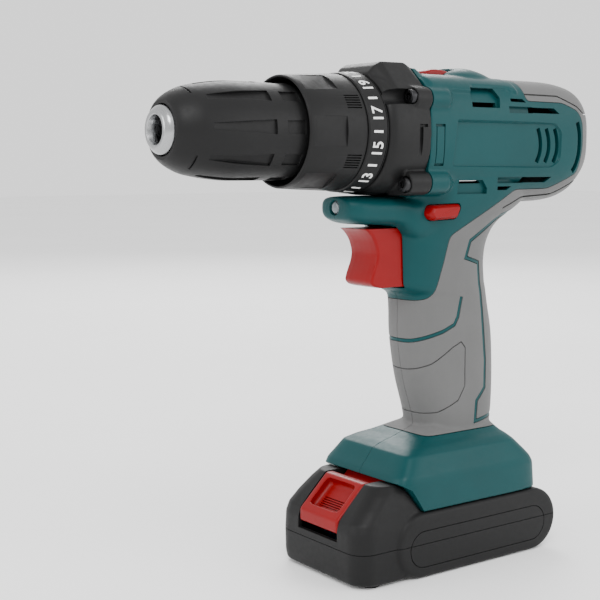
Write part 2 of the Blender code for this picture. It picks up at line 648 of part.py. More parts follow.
# ---------------------------------------------------------------- controls
TRIGGER_SIDE = ((7.8, 138.7), (7.8, 167.3), (-17.4, 167.3), (-18.0, 166.6), (-15.4, 164.4), (-13.2, 162.0),
                (-11.4, 158.5), (-10.6, 154.5), (-11.2, 151.0), (-12.6, 147.0), (-14.0, 143.4),
                (-14.2, 141.4), (-12.4, 139.6), (-9.0, 138.7))


def build_controls():
    trigger = side_plate("trigger", TRIGGER_SIDE, -10.4, 10.4, "red")
    add_bevel(trigger, 1.6, 2, 50)
    boolean(trigger, block("trigger_stem", (6.0, -4.0, 149.0), (17.0, 4.0, 157.0)), "UNION")
    switch = block("switch_body", (16.4, -10.5, 138.0), (46.0, 10.5, 166.0), "black")
    boolean(switch, block("stem_way", (10.0, -4.5, 148.5), (24.0, 4.5, 157.5)))
    boolean(switch, rod("spring_way", (10.0, 0, 144.0), (30.0, 0, 144.0), 3.0, sides=16))
    coil("trigger_spring", (8.6, 0, 144.0), (0, math.pi / 2, 0), 2.2, 0.7, 2.0, 5.0, "steel")
    button = side_plate("direction_button", ((9.9, 170.9), (30.4, 171.7), (30.6, 178.9), (10.0, 178.2)),
                        -25.6, 25.6, "red")
    boolean(button, rod("direction_pin", (20.0, 0, 166.6), (20.0, 0, 174.0), 1.6, sides=12), "UNION")
    selector = block("speed_selector", (20.0, -9.0, 237.4), (38.4, 9.0, 242.6), "red", 1.0)
    boolean(selector, block("selector_tab", (27.0, -3.0, 233.6), (31.0, 3.0, 239.0)), "UNION")
    turned("lamp_lens", [(-21.0, 0.0), (-21.0, 3.0), (LAMP_FRONT + 1.2, 3.0), (LAMP_FRONT + 0.4, 2.2),
                         (LAMP_FRONT, 0.0)], "lens", 20, (0.0, LAMP_Z), False)
    terminals = block("terminal_block", (58.0, -14.0, 33.0), (72.2, 14.0, 49.6), "black")
    for y in (-8.0, 8.0):
        boolean(terminals, block(f"blade_{y:.0f}", (44.0, y - 0.4, 37.0), (59.0, y + 0.4, 43.6)), "UNION")


def build_body_screws():
    for i, (x, z, top) in enumerate(BODY_SCREWS):
        seat = top - HEAD_TALL
        shaft = rod(f"housing_screw_{i + 1}", (x, -12.5, z), (x, seat + 0.5, z), 1.6, "steel", 8)
        boolean(shaft, rod(f"screw_head_{i}", (x, seat, z), (x, top, z), 3.2, sides=12), "UNION")
        boolean(shaft, rod(f"screw_drive_{i}", (x, top - 1.2, z), (x, top + 1.0, z), 1.5, sides=6))


# ---------------------------------------------------------------- battery
FRONT_BLOCK = ((0.0, -37.6, 32.2), (3.0, -38.3, 32.7), (BATTERY_SPLIT, BATTERY_FRONT, 32.8), (26.0, -38.3, 32.4),
               (30.4, -37.0, 31.6), (36.0, -31.8, 30.4), (42.0, -25.6, 28.4), (46.0, -21.6, 26.0))
FRONT_CORNER = 9.5        # rounding of the battery's front corners, seen from above
BATTERY_WALL = 2.4
LATCH_W = 15.0
LATCH_SIDE = ((-17.5, 45.9), (-21.8, 45.9), (-37.0, 31.2), (-38.0, 30.2), (-38.0, 24.0), (-30.0, 24.0),
              (-8.6, 30.5), (-1.8, 30.5), (-1.8, 46.0), (-7.6, 46.0), (-12.6, 41.0), (-16.0, 41.0))
LATCH_WELL = ((-25.0, 45.6), (-36.3, 34.7), (-32.3, 31.6), (-22.2, 41.3))


def racetrack(low_x, high_x, low_z, high_z):
    """Long outline with half-round ends."""
    r = (high_z - low_z) / 2
    z = (high_z + low_z) / 2
    rear = [(high_x - r + r * math.cos(t), z + r * math.sin(t))
            for t in (math.pi * (i / 10 - 0.5) for i in range(11))]
    front = [(low_x + r + r * math.cos(t), z + r * math.sin(t))
             for t in (math.pi * (i / 10 + 0.5) for i in range(11))]
    return rear + front


def battery_solid(name, inset):
    half = BATTERY_W / 2 - inset
    panel = side_plate(name, racetrack(-16.0 + inset, BATTERY_REAR - inset, inset, BATTERY_DECK - inset),
                       -half, half)
    if inset == 0.0:
        add_bevel(panel, 1.6, 2, 50)
    rings = []
    for z, front, wide in FRONT_BLOCK:
        z = min(max(z, inset), 46.0 - inset)
        corner = FRONT_CORNER
        x0, w, x1 = front + inset, wide - inset, 20.0
        ring = [(x1, -w, z), (x1, w, z)]
        for t in (math.pi / 2 * i / 5 for i in range(6)):
            ring.append((x0 + corner - corner * math.sin(t), w - corner + corner * math.cos(t), z))
        for t in (math.pi / 2 * i / 5 for i in range(5, -1, -1)):
            ring.append((x0 + corner - corner * math.sin(t), -w + corner - corner * math.cos(t), z))
        rings.append(ring)
    head = loft(name + "_front", rings)
    slope = [(x - 0.4 - inset, z - 0.3 - inset) for x, z in FOOT_FRONT_CUT[1:5]]
    trim = [(60, 31.6 - inset), (slope[1][0], 31.6 - inset), *slope[2:], (slope[3][0], 60), (60, 60)]
    boolean(head, side_plate(name + "_trim", trim, -50, 50))
    return boolean(panel, head, "UNION")


def build_battery():
    band = BATTERY_SPLIT
    for word, low, high in (("lower", -5.0, band - GAP / 2), ("upper", band + GAP / 2, 60.0)):
        case = battery_solid(f"battery_{word}_case", 0.0)
        CUTTERS.objects.unlink(case)
        PARTS.objects.link(case)
        case.hide_render = False
        case.display_type = "TEXTURED"
        case.data.materials.append(material("black"))
        if word == "upper":
            boolean(case, block("rail_neck", (-9.0, -RAIL_NECK + GAP, 30.0), (57.4, RAIL_NECK - GAP, 45.9)), "UNION")
            boolean(case, block("rail_head", (-9.0, -RAIL_HEAD + GAP, 38.0), (57.4, RAIL_HEAD - GAP, 45.9)), "UNION")
        boolean(case, battery_solid(f"battery_{word}_cavity", BATTERY_WALL))
        if word == "upper":
            cut_upper_case(case)
        boolean(case, block(f"battery_{word}_half", (-60, -50, low), (110, 50, high)), "INTERSECT")
    build_pack_inside()
    build_latch()


def cut_upper_case(case):
    """Pocket for the release button, blade slots and the hollow below the rails."""
    boolean(case, block("latch_pocket", (-60, -LATCH_W - 0.4, 20.4), (-1.2, LATCH_W + 0.4, 60)))
    for side in (-1, 1):
        low, high = sorted((side * 6.4, side * 10.0))
        boolean(case, block(f"blade_slot_{side}", (43.4, low, 36.0), (60, high, 50)))
    boolean(case, block("rail_hollow", (2.0, -12.5, 20), (40.0, 12.5, 43.4)))


def build_pack_inside():
    for k in range(5):
        x = -1.6 + 19.0 * k
        rod(f"cell_{k + 1}", (x, -31.2, 12.2), (x, 31.2, 12.2), 9.1, "cell", 24)
    block("battery_board", (10.0, -11.0, 23.2), (38.0, 11.0, 24.8), "board")
    for side, word in ((-1, "left"), (1, "right")):
        y = side * 6.9
        block(f"battery_contact_{word}", (45.0, y - 0.25, 36.4), (56.0, y + 0.25, 43.6), "brass")


def build_latch():
    latch = side_plate("battery_latch", LATCH_SIDE, -LATCH_W, LATCH_W, "red")
    boolean(latch, side_plate("latch_well", LATCH_WELL, -11.5, 11.5))
    boolean(latch, rod("latch_spring_seat", (-22.0, 0, 20.0), (-22.0, 0, 31.8), 4.2, sides=16))
    coil("latch_spring", (-22.0, 0, 21.2), (0, 0, 0), 3.2, 0.8, 2.0, 5.0, "steel")


def main():
    build_housings()
    build_grips()
    build_gear_housing()
    build_collar()
    build_chuck()
    build_drive()
    build_motor()
    build_controls()
    build_body_screws()
    build_battery()


main()
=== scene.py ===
"""Looks of a cordless drill driver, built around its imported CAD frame.

Lengths here are in millimetres and become metres where a mesh is made.  The chuck
points along -X, +Z is up, and the two housing halves part at y = 0.
"""
import json
import math

import bmesh
import bpy
from mathutils import Matrix, Vector


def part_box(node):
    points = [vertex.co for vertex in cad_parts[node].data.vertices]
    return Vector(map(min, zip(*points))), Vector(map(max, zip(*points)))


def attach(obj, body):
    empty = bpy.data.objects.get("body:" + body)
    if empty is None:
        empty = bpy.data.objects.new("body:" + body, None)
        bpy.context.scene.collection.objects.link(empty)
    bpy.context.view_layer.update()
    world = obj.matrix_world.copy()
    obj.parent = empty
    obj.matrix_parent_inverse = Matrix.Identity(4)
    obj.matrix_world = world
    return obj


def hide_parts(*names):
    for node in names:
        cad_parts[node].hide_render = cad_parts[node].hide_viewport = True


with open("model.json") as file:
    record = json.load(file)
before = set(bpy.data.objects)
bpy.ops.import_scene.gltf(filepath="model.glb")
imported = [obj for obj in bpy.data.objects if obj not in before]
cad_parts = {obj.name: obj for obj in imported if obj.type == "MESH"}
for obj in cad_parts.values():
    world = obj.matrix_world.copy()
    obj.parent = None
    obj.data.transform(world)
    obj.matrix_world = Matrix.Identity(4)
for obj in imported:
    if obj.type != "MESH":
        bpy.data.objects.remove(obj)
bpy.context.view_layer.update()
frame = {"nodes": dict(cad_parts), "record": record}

MM = 0.001


def edge(node, axis, end):
    """Lowest (end 0) or highest (end 1) coordinate of a CAD node, in millimetres."""
    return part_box(node)[end][axis] / MM


# ---------------------------------------------------------------- places read from the frame
AXIS_Z = (edge("motor_can", 2, 0) + edge("motor_can", 2, 1)) / 2
NOSE_X = edge("chuck_body", 0, 0)
TAIL_X = edge("left_grip_overmould", 0, 1)
SLEEVE_FRONT, SLEEVE_REAR = edge("chuck_sleeve", 0, 0), edge("chuck_sleeve", 0, 1)
COLLAR_FRONT, COLLAR_REAR = edge("torque_collar", 0, 0), edge("torque_collar", 0, 1)
SCALE_FRONT, SCALE_REAR = edge("torque_scale_ring", 0, 0), edge("torque_scale_ring", 0, 1)
CASE_FRONT, CASE_REAR = edge("gearbox_nose", 0, 0), 6.2
FOOT_BOTTOM = edge("left_housing_shell", 2, 0)
BATTERY_HALF = edge("battery_lower_case", 1, 1)
BATTERY_REAR = edge("battery_lower_case", 0, 1)
BATTERY_SPLIT = (edge("battery_lower_case", 2, 1) + edge("battery_upper_case", 2, 0)) / 2
BATTERY_DECK = 32.0
CASE_SCREWS = ((-26.0, 188.5, -5.8), (26.0, 188.5, -5.8), (-26.0, 228.8, -2.4), (26.0, 228.8, -2.4))
BODY_SCREWS = ((90.0, 233.0, 18.0), (90.0, 186.5, 18.0), (46.0, 126.0, 16.6), (46.0, 80.0, 16.2))
LAMP_Z = 177.4
SKIN, WALL = 1.6, 3.8     # overmould thickness, and depth from the outside to the cavity


# ---------------------------------------------------------------- mesh helpers
def shade(mesh, sharp=32.0):
    mesh.shade_smooth()
    mesh.set_sharp_from_angle(angle=math.radians(sharp))


def from_bmesh(name, bm, matrix=None):
    """Closed object from a bmesh drawn in millimetres."""
    if matrix is not None:
        bm.transform(matrix)
    bmesh.ops.recalc_face_normals(bm, faces=bm.faces)
    if bm.calc_volume(signed=True) < 0:
        bmesh.ops.reverse_faces(bm, faces=bm.faces)
    bm.transform(Matrix.Scale(MM, 4))
    mesh = bpy.data.meshes.new(name)
    bm.to_mesh(mesh)
    bm.free()
    shade(mesh)
    obj = bpy.data.objects.new(name, mesh)
    bpy.context.scene.collection.objects.link(obj)
    return obj


def skin_rings(name, rings, matrix=None, closed=False):
    """Faces between rings of points; the ends are capped, or joined to each other."""
    bm = bmesh.new()
    rows = [[bm.verts.new(p) for p in ring] for ring in rings]
    count = len(rows[0])
    pairs = list(zip(rows, rows[1:]))
    if closed:
        pairs.append((rows[-1], rows[0]))
    for a, b in pairs:
        for i in range(count):
            j = (i + 1) % count
            bm.faces.new((a[i], a[j], b[j], b[i]))
    if not closed:
        bm.faces.new(rows[0])
        bm.faces.new(rows[-1])
    return from_bmesh(name, bm, matrix)


def prism(name, outline, low, high, plane="xz", outline_high=None):
    """Outline extruded from low to high; outline_high gives the far end a draft."""
    def point(u, v, w):
        return {"xz": (u, w, v), "yz": (w, u, v), "xy": (u, v, w)}[plane]
    far = outline_high or outline
    return skin_rings(name, [[point(u, v, low) for u, v in outline], [point(u, v, high) for u, v in far]])


def box(name, low, high):
    corners = ((low[0], low[1]), (high[0], low[1]), (high[0], high[1]), (low[0], high[1]))
    return prism(name, corners, low[2], high[2], "xy")


def rod(name, start, end, radius, sides=32, end_radius=None):
    """Cylinder or cone between two points."""
    start, end = Vector(start), Vector(end)
    bm = bmesh.new()
    bmesh.ops.create_cone(bm, cap_ends=True, segments=sides, radius1=radius,
                          radius2=radius if end_radius is None else end_radius,
                          depth=(end - start).length)
    turn = (end - start).to_track_quat("Z", "Y").to_matrix().to_4x4()
    return from_bmesh(name, bm, Matrix.Translation((start + end) / 2) @ turn)


def turned(name, profile, centre=(0.0, None), steps=128, solid=False):
    """Closed (x, radius) profile turned about an axis along X; a solid one ends on the axis."""
    y, z = centre[0], AXIS_Z if centre[1] is None else centre[1]
    rings = []
    for x, r in profile:
        rings.append([(x, y + r * math.cos(a), z + r * math.sin(a))
                      for a in (2 * math.pi * i / steps for i in range(steps))])
    return skin_rings(name, rings, closed=not solid)


def shrink_on(piece, width, segments=2, angle=35.0):
    """Rounded edges."""
    mod = piece.modifiers.new("round", "BEVEL")
    mod.width = width * MM
    mod.segments = segments
    mod.limit_method = "ANGLE"
    mod.angle_limit = math.radians(angle)
    return bake(piece)


def bake(obj, sharp=32.0):
    """Put the result of the modifiers in the mesh."""
    graph = bpy.context.evaluated_depsgraph_get()
    mesh = bpy.data.meshes.new_from_object(obj.evaluated_get(graph))
    old = obj.data
    obj.modifiers.clear()
    obj.data = mesh
    bpy.data.meshes.remove(old)
    shade(mesh, sharp)
    return obj


def copy_of(obj, name):
    new = bpy.data.objects.new(name, obj.data.copy())
    bpy.context.scene.collection.objects.link(new)
    return new


def combine(obj, operation, tools):
    """Boolean with all the tools; the tools are used up."""
    first = tools[0]
    if len(tools) > 1:
        for tool in tools[1:]:
            add_boolean(first, tool, "UNION")
        bake(first)
    add_boolean(obj, first, operation)
    bake(obj)
    for tool in tools:
        bpy.data.objects.remove(tool, do_unlink=True)
    return obj


def add_boolean(obj, tool, operation):
    mod = obj.modifiers.new("boolean", "BOOLEAN")
    mod.object = tool
    mod.operation = operation
    mod.solver = "MANIFOLD"


def cut(obj, *tools):
    return combine(obj, "DIFFERENCE", tools)


def join(obj, *tools):
    return combine(obj, "UNION", tools)


def common(obj, *tools):
    return combine(obj, "INTERSECT", tools)


def soften(obj, voxel, passes):
    """Even mesh with every edge and joint rounded."""
    mod = obj.modifiers.new("even", "REMESH")
    mod.mode = "VOXEL"
    mod.voxel_size = voxel * MM
    mod = obj.modifiers.new("smooth", "SMOOTH")
    mod.factor = 0.5
    mod.iterations = passes
    return bake(obj)


# ---------------------------------------------------------------- outlines
def squircle(power, count):
    """Unit superellipse points, from a circle at power 2 to nearly a square."""
    points = []
    for i in range(count):
        a = 2 * math.pi * (i + 0.5) / count
        c, s = math.cos(a), math.sin(a)
        points.append((math.copysign(abs(c) ** (2 / power), c),
                       math.copysign(abs(s) ** (2 / power), s)))
    return points


def smooth_rows(rows, steps):
    """Rows of numbers resampled along a smooth curve that passes through them."""
    result = []
    for i in range(len(rows) - 1):
        a, b, c, d = rows[max(i - 1, 0)], rows[i], rows[i + 1], rows[min(i + 2, len(rows) - 1)]
        for k in range(steps):
            t = k / steps
            result.append(tuple(
                0.5 * (2 * q + (r - p) * t + (2 * p - 5 * q + 4 * r - s) * t * t
                       + (3 * q - p - 3 * r + s) * t ** 3)
                for p, q, r, s in zip(a, b, c, d)))
    result.append(tuple(rows[-1]))
    return result


def rounded(outline, radius, steps=5):
    """Outline whose corners are arcs, each no longer than its sides allow."""
    result = []
    count = len(outline)
    for i in range(count):
        a, b, c = Vector(outline[i - 1]), Vector(outline[i]), Vector(outline[(i + 1) % count])
        to_a, to_c = (a - b), (c - b)
        reach = min(radius, to_a.length * 0.45, to_c.length * 0.45)
        start, end = b + to_a.normalized() * reach, b + to_c.normalized() * reach
        for k in range(steps + 1):
            t = k / steps
            result.append(tuple(start * (1 - t) ** 2 + b * 2 * t * (1 - t) + end * t * t))
    return result


def ribbon(points, width, steps=0):
    """Outline of a strip of even width along a line of points."""
    line = [Vector(p) for p in (smooth_rows(points, steps) if steps else points)]
    left, right = [], []
    for i, p in enumerate(line):
        before = (p - line[i - 1]).normalized() if i else (line[1] - p).normalized()
        after = (line[i + 1] - p).normalized() if i < len(line) - 1 else before
        along = (before + after).normalized()
        across = Vector((-along.y, along.x))
        reach = width / 2 / max(0.4, along.dot(before))
        left.append(tuple(p + across * reach))
        right.append(tuple(p - across * reach))
    return left + right[::-1]


def racetrack(low_x, high_x, low_z, high_z, steps=20):
    """Long outline with half-round ends."""
    r, z = (high_z - low_z) / 2, (high_z + low_z) / 2
    turns = [math.pi * (i / steps - 0.5) for i in range(steps + 1)]
    rear = [(high_x - r + r * math.cos(t), z + r * math.sin(t)) for t in turns]
    front = [(low_x + r - r * math.cos(t), z - r * math.sin(t)) for t in turns]
    return rear + front


def loft_x(name, sections, inset=0.0, power=3.2, count=88, steps=8):
    """Loft along X from (x, half width, bottom, top) sections."""
    rings = []
    unit = squircle(power, count)
    for x, half, bottom, top in (smooth_rows(sections, steps) if steps > 1 else sections):
        middle, tall = (top + bottom) / 2, (top - bottom) / 2 - inset
        rings.append([(x, (half - inset) * u, middle + tall * v) for u, v in unit])
    return skin_rings(name, rings)


def loft_z(name, sections, inset=0.0, power=2.6, count=80, steps=8):
    """Loft along Z from (z, front x, rear x, half width) sections."""
    rings = []
    unit = squircle(power, count)
    for z, front, rear, half in (smooth_rows(sections, steps) if steps > 1 else sections):
        middle, long = (front + rear) / 2, (rear - front) / 2 - inset
        rings.append([(middle + long * u, (half - inset) * v, z) for u, v in unit])
    return skin_rings(name, rings)


# ---------------------------------------------------------------- materials
class Nodes:
    """Short hand for wiring one material's nodes."""

    def __init__(self, name):
        self.mat = bpy.data.materials.new(name)
        self.mat.use_nodes = True
        self.tree = self.mat.node_tree
        self.shader = self.tree.nodes["Principled BSDF"]
        self.coords = self.tree.nodes.new("ShaderNodeTexCoord").outputs["Object"]

    def add(self, kind, **values):
        node = self.tree.nodes.new(kind)
        for key, value in values.items():
            socket = node.inputs.get(key.replace("_", " "))
            if socket is not None and not hasattr(node, key):
                socket.default_value = value
            else:
                setattr(node, key, value)
        return node

    def link(self, out, into):
        self.tree.links.new(out, into)

    def noise(self, scale, detail=3.0, stretch=None, roughness=0.6):
        source = self.coords
        if stretch:
            mapping = self.add("ShaderNodeMapping")
            mapping.inputs["Scale"].default_value = stretch
            self.link(self.coords, mapping.inputs["Vector"])
            source = mapping.outputs["Vector"]
        node = self.add("ShaderNodeTexNoise")
        node.inputs["Scale"].default_value = scale
        node.inputs["Detail"].default_value = detail
        node.inputs["Roughness"].default_value = roughness
        self.link(source, node.inputs["Vector"])
        return node.outputs["Fac"]

    def spread(self, source, low, high):
        """Map a 0..1 texture onto a range."""
        node = self.add("ShaderNodeMapRange")
        node.inputs["From Min"].default_value = 0.3
        node.inputs["From Max"].default_value = 0.7
        node.inputs["To Min"].default_value = low
        node.inputs["To Max"].default_value = high
        self.link(source, node.inputs["Value"])
        return node.outputs["Result"]

    def tint(self, source, low, high):
        """Blend two colours by a texture."""
        node = self.add("ShaderNodeMix", data_type="RGBA")
        node.inputs["A"].default_value = (*low, 1.0)
        node.inputs["B"].default_value = (*high, 1.0)
        ramp = self.spread(source, 0.0, 1.0)
        self.link(ramp, node.inputs["Factor"])
        self.link(ramp, node.inputs[0])
        return [o for o in node.outputs if o.type == "RGBA"][0]

    def bump(self, source, height, normal=None):
        node = self.add("ShaderNodeBump")
        node.inputs["Distance"].default_value = height * MM
        node.inputs["Strength"].default_value = 1.0
        self.link(source, node.inputs["Height"])
        if normal is not None:
            self.link(normal, node.inputs["Normal"])
        return node.outputs["Normal"]


def set_sockets(shader, **values):
    for key, value in values.items():
        shader.inputs[key.replace("_", " ")].default_value = value


def scaled(colour, factor):
    return tuple(min(1.0, c * factor) for c in colour)


def moulded(name, colour, roughness, grain=0.012, size=2600.0, edge_radius=0.35, **extra):
    """Moulded plastic or rubber: fine texture, slow colour drift and slightly rounded edges."""
    n = Nodes(name)
    drift = n.noise(28.0, 4.0)
    mix = n.tint(drift, scaled(colour, 0.93), scaled(colour, 1.07))
    n.link(mix, n.shader.inputs["Base Color"])
    rough = n.spread(n.noise(420.0, 5.0), roughness - 0.05, roughness + 0.05)
    n.link(rough, n.shader.inputs["Roughness"])
    round_edge = n.add("ShaderNodeBevel", samples=4)
    round_edge.inputs["Radius"].default_value = edge_radius * MM
    fine = n.bump(n.noise(size, 2.0), grain, round_edge.outputs["Normal"])
    n.link(n.bump(n.noise(90.0, 2.0), 0.05, fine), n.shader.inputs["Normal"])
    set_sockets(n.shader, IOR=1.46, Specular_IOR_Level=0.2, **extra)
    return n.mat


def metal(name, colour, roughness, stretch=(60.0, 1.0, 1.0), grain=0.004, **extra):
    """Machined metal whose fine marks run round the X axis."""
    n = Nodes(name)
    marks = n.noise(220.0, 4.0, stretch)
    n.link(n.tint(marks, scaled(colour, 0.88), scaled(colour, 1.08)), n.shader.inputs["Base Color"])
    n.link(n.spread(marks, roughness - 0.06, roughness + 0.08), n.shader.inputs["Roughness"])
    round_edge = n.add("ShaderNodeBevel", samples=4)
    round_edge.inputs["Radius"].default_value = 0.25 * MM
    n.link(n.bump(marks, grain, round_edge.outputs["Normal"]), n.shader.inputs["Normal"])
    set_sockets(n.shader, Metallic=1.0, **extra)
    return n.mat


def clear_plastic(name):
    n = Nodes(name)
    n.link(n.spread(n.noise(500.0), 0.03, 0.1), n.shader.inputs["Roughness"])
    n.link(n.tint(n.noise(60.0), (0.16, 0.20, 0.22), (0.24, 0.28, 0.30)), n.shader.inputs["Base Color"])
    set_sockets(n.shader, IOR=1.49, Transmission_Weight=0.35)
    return n.mat


TEAL = (0.0000, 0.0400, 0.0430)
GREY = (0.1000, 0.1000, 0.0995)
BLACK = (0.0068, 0.0068, 0.0070)
RED = (0.1800, 0.0004, 0.0015)


def make_materials():
    return {
        "teal_plastic": moulded("teal_plastic", TEAL, 0.42, 0.010, 3000.0),
        "grey_grip": moulded("grey_grip", GREY, 0.66, 0.030, 1900.0, Sheen_Weight=0.12, Sheen_Roughness=0.5),
        "black_plastic": moulded("black_plastic", BLACK, 0.46, 0.022, 2300.0),
        "battery_black": moulded("battery_black", BLACK, 0.50, 0.034, 1700.0),
        "inner_black": moulded("inner_black", scaled(BLACK, 0.6), 0.6),
        "red_plastic": moulded("red_plastic", RED, 0.34, 0.008, 3000.0),
        "polished_steel": metal("polished_steel", (0.34, 0.345, 0.35), 0.24),
        "steel": metal("steel", (0.13, 0.13, 0.135), 0.38),
        "screw_steel": metal("screw_steel", (0.035, 0.035, 0.037), 0.36, grain=0.002),
        "gear_case_nylon": moulded("gear_case_nylon", (0.50, 0.48, 0.42), 0.55),
        "lamp_clear": clear_plastic("lamp_clear"),
        "board_green": moulded("board_green", (0.012, 0.110, 0.040), 0.45),
        "contact_brass": metal("contact_brass", (0.62, 0.42, 0.16), 0.30),
        "cell_sleeve": moulded("cell_sleeve", (0.030, 0.180, 0.340), 0.38),
        "print_white": moulded("print_white", (0.75, 0.75, 0.74), 0.5, 0.006, edge_radius=0.05),
    }


MATERIALS = make_materials()


def place(piece, body, slot, replaced=(), look=None):
    """Give a piece its material and its body, and hide the CAD nodes that it stands for."""
    piece.data.materials.clear()
    piece.data.materials.append(MATERIALS[look or slot])
    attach(piece, body)
    if replaced:
        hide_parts(*replaced)
    return piece


# ---------------------------------------------------------------- housing
BARREL = ((CASE_REAR - 0.3, 28.6, 183.8, 241.2), (22, 28.8, 183.2, 241.2), (48, 28.8, 181.5, 241.0),
          (75, 28.6, 178.6, 240.6), (98, 27.8, 178.4, 240.4), (110, 26.9, 181.0, 239.0),
          (117, 25.2, 186.0, 236.5), (122, 22.4, 191.0, 231.5), (TAIL_X, 17.5, 198.0, 224.5))
HANDLE = ((60, 24.3, 66.6, 17.6), (74, 20.7, 69.3, 17.1), (92, 14.9, 70.2, 17.0), (112, 11.4, 69.0, 17.3),
          (126, 11.2, 65.6, 17.9), (132.6, 10.8, 64.0, 18.3), (134.6, 9.4, 63.6, 18.5),
          (136.6, 5.2, 63.2, 18.7), (138.4, 3.0, 62.8, 18.8), (141, 2.2, 62.4, 19.0), (150, 2.2, 61.3, 19.8),
          (160, 2.2, 62.6, 21.2), (169, 2.2, 69.0, 22.8), (178.6, 2.2, 85.6, 24.8), (190.3, 2.2, 98.0, 26.0))
UNDER_NOSE = ((-28.6, 8.5, 173.4, 182.2), (-28.2, 9.8, 172.3, 182.5), (-27.0, 11.4, 171.4, 182.6),
              (-22, 13.9, 169.6, 182.8), (-12, 15.4, 168.8, 182.8), (0, 17.5, 167.4, 182.8),
              (8, 20.0, 160.0, 182.8), (24, 22.0, 156.0, 190.0))
FOOT = ((FOOT_BOTTOM, -13.0, 81.3, 33.0), (46.0, -13.0, 80.0, 33.0), (49.4, -11.6, 78.0, 32.4),
        (52.5, -8.8, 75.2, 31.0), (58.4, -4.2, 69.5, 28.0), (60.6, 1.6, 67.4, 25.0), (62.4, 9.0, 65.4, 21.4),
        (68.0, 26.0, 62.0, 13.0))
FOOT_FRONT_CUT = ((-30, 28), (1.6, 28), (1.6, 32.0), (-6.0, 43.6), (-11.6, 46.9), (-30, 46.9))
FOOT_CEILING = 50.0
RAIL_HEAD, RAIL_NECK, RAIL_ROOF = 20.6, 15.6, 46.3
GRIP_REGION = ((71.6, 262), (71.6, 228.8), (98.7, 228.6), (110.5, 224.8), (114.2, 219.5),
               (114.8, 207.3), (111.4, 193.3), (91.2, 185.5), (67.1, 185.3), (25.9, 163.2),
               (23.9, 150.9), (19.3, 132.8), (12.8, 131.2), (-4.0, 134.4), (-40, 134.4),
               (-40, 64.2), (140, 64.2), (140, 262))
REAR_INLAY = ((73.5, 174.6), (61.4, 172.2), (40.2, 160.3), (38.3, 151.9), (48.7, 148.9), (53.4, 124.3),
              (56.8, 98.3), (56.5, 84.4), (50.2, 78.3), (49.1, 67.9), (61.0, 69.4), (80.0, 72.0))
FRONT_INLAY = ((37.3, 132.5), (35.6, 122.5), (33.6, 118.6), (27.0, 115.6), (13.1, 111.2), (0.2, 109.6),
               (-12.0, 110.4))
GRIP_PANEL = ((1.5, 94.3), (11.0, 95.2), (22.0, 99.6), (33.1, 107.2), (38.6, 109.6), (41.4, 106.4),
              (41.7, 87.0), (37.5, 80.0), (26.9, 74.6), (13.6, 72.2), (3.0, 74.6))


LEDGE_AREA = ((9, 233.2), (35, 232.6), (35, 235.4), (58, 235.4), (66, 232.8), (66, 243), (9, 243))
HOOD = ((26, 2, 236, 238), (31, 14, 230, 242.4), (38, 18.5, 228, 244.6), (46, 19, 228, 245.4),
        (54, 18, 228, 244.2), (62, 14, 230, 241.6), (70, 2, 234, 237))
REAR_SLOT = ((109.6, 219.2), (111.3, 213.0), (111.2, 204.0), (109.2, 197.4), (107.0, 193.9))
LOUVRES = 3
SEAM = 0.1                # half the gap between the two housing shells


def barrel_rows(inset):
    """Barrel sections whose rear end moves in by the inset."""
    shift = inset / (TAIL_X - 98.0)
    return [(x - shift * max(0.0, x - 98.0), half, bottom, top) for x, half, bottom, top in BARREL]


def body_form(name, inset=0.0):
    """Barrel, handle, trigger roof and foot in one; the inset ones are cores and cavities."""
    body = loft_x(name, barrel_rows(inset), inset, 3.2)
    parts = [loft_z(name + "_handle", HANDLE, inset, 2.6)]
    if inset < WALL:
        parts.append(loft_x(name + "_roof", UNDER_NOSE, inset, 3.0, 64, 4))
    foot = FOOT if inset < WALL else [s if s[0] > FOOT_CEILING else (FOOT_CEILING, *s[1:]) for s in FOOT[1:]]
    parts.append(loft_z(name + "_foot", foot, inset, 10.0, 120, 1))
    for part in parts:
        join(body, part)
    return body


def ear(name, x_low, x_high, y, z, grow=0.0):
    """Solid round a case screw that leans against the round housing; seen along X it has flat flanks."""
    side, up = math.copysign(1, y), math.copysign(1, z - AXIS_Z)
    shape = ((-14.0, 5.6), (-0.4, 5.2), (3.4, 3.0), (4.6, -1.4), (2.6, -5.2), (-12.0, -9.0))
    outline = rounded([(y + side * u, z + up * v) for u, v in shape], 2.4)
    far = [(y + (v - y) * (1 - grow) - side * 9.0 * grow, z + (w - z) * (1 - grow)) for v, w in outline]
    return prism(name, outline, x_low, x_high, "yz", far)


def add_body_details(body):
    """Bulges over the case screws, the ledge along the top and the hood behind the selector."""
    for y, z, _ in CASE_SCREWS:
        join(body, ear("bulge", CASE_REAR - 4, 17.6, y, z), ear("bulge_end", 17.5, 28.0, y, z, 0.62))
    ledge = loft_x("ledge", [(x, half + 0.9, bottom, top) for x, half, bottom, top in BARREL[:5]], 0.0, 3.6)
    common(ledge, prism("ledge_area", LEDGE_AREA, -40, 40))
    rings = []
    for x, spread, drop in ((CASE_REAR - 4, 1, 0), (9.0, 1, 0), (12.2, 0.96, 2.6)):
        rim = ((-24, 226), (24, 226), (24, 233.4), (14, 243.2 - drop), (-14, 243.2 - drop), (-24, 233.4))
        rings.append([(x, y * spread, z) for y, z in rim])
    step = skin_rings("step", rings)
    hood = loft_x("hood", HOOD, 0.0, 2.3)
    join(body, ledge, hood, step)
    return body


def side_recess(side):
    """Sunk panel in the barrel's side, its walls drafted."""
    outer = ((20.2, 196.0), (90.6, 195.0), (97.4, 199.0), (98.0, 214.6), (92.6, 219.6), (23.0, 219.6))
    inner = ((21.2, 197.0), (90.2, 196.4), (95.6, 199.8), (96.2, 213.8), (91.6, 217.6), (23.8, 217.6))
    outer, inner = rounded(outer, 2.0), rounded(inner, 2.0)
    deep, out = side * 26.9, side * 29.6
    return prism("recess", inner, deep, out, "xz", outer)


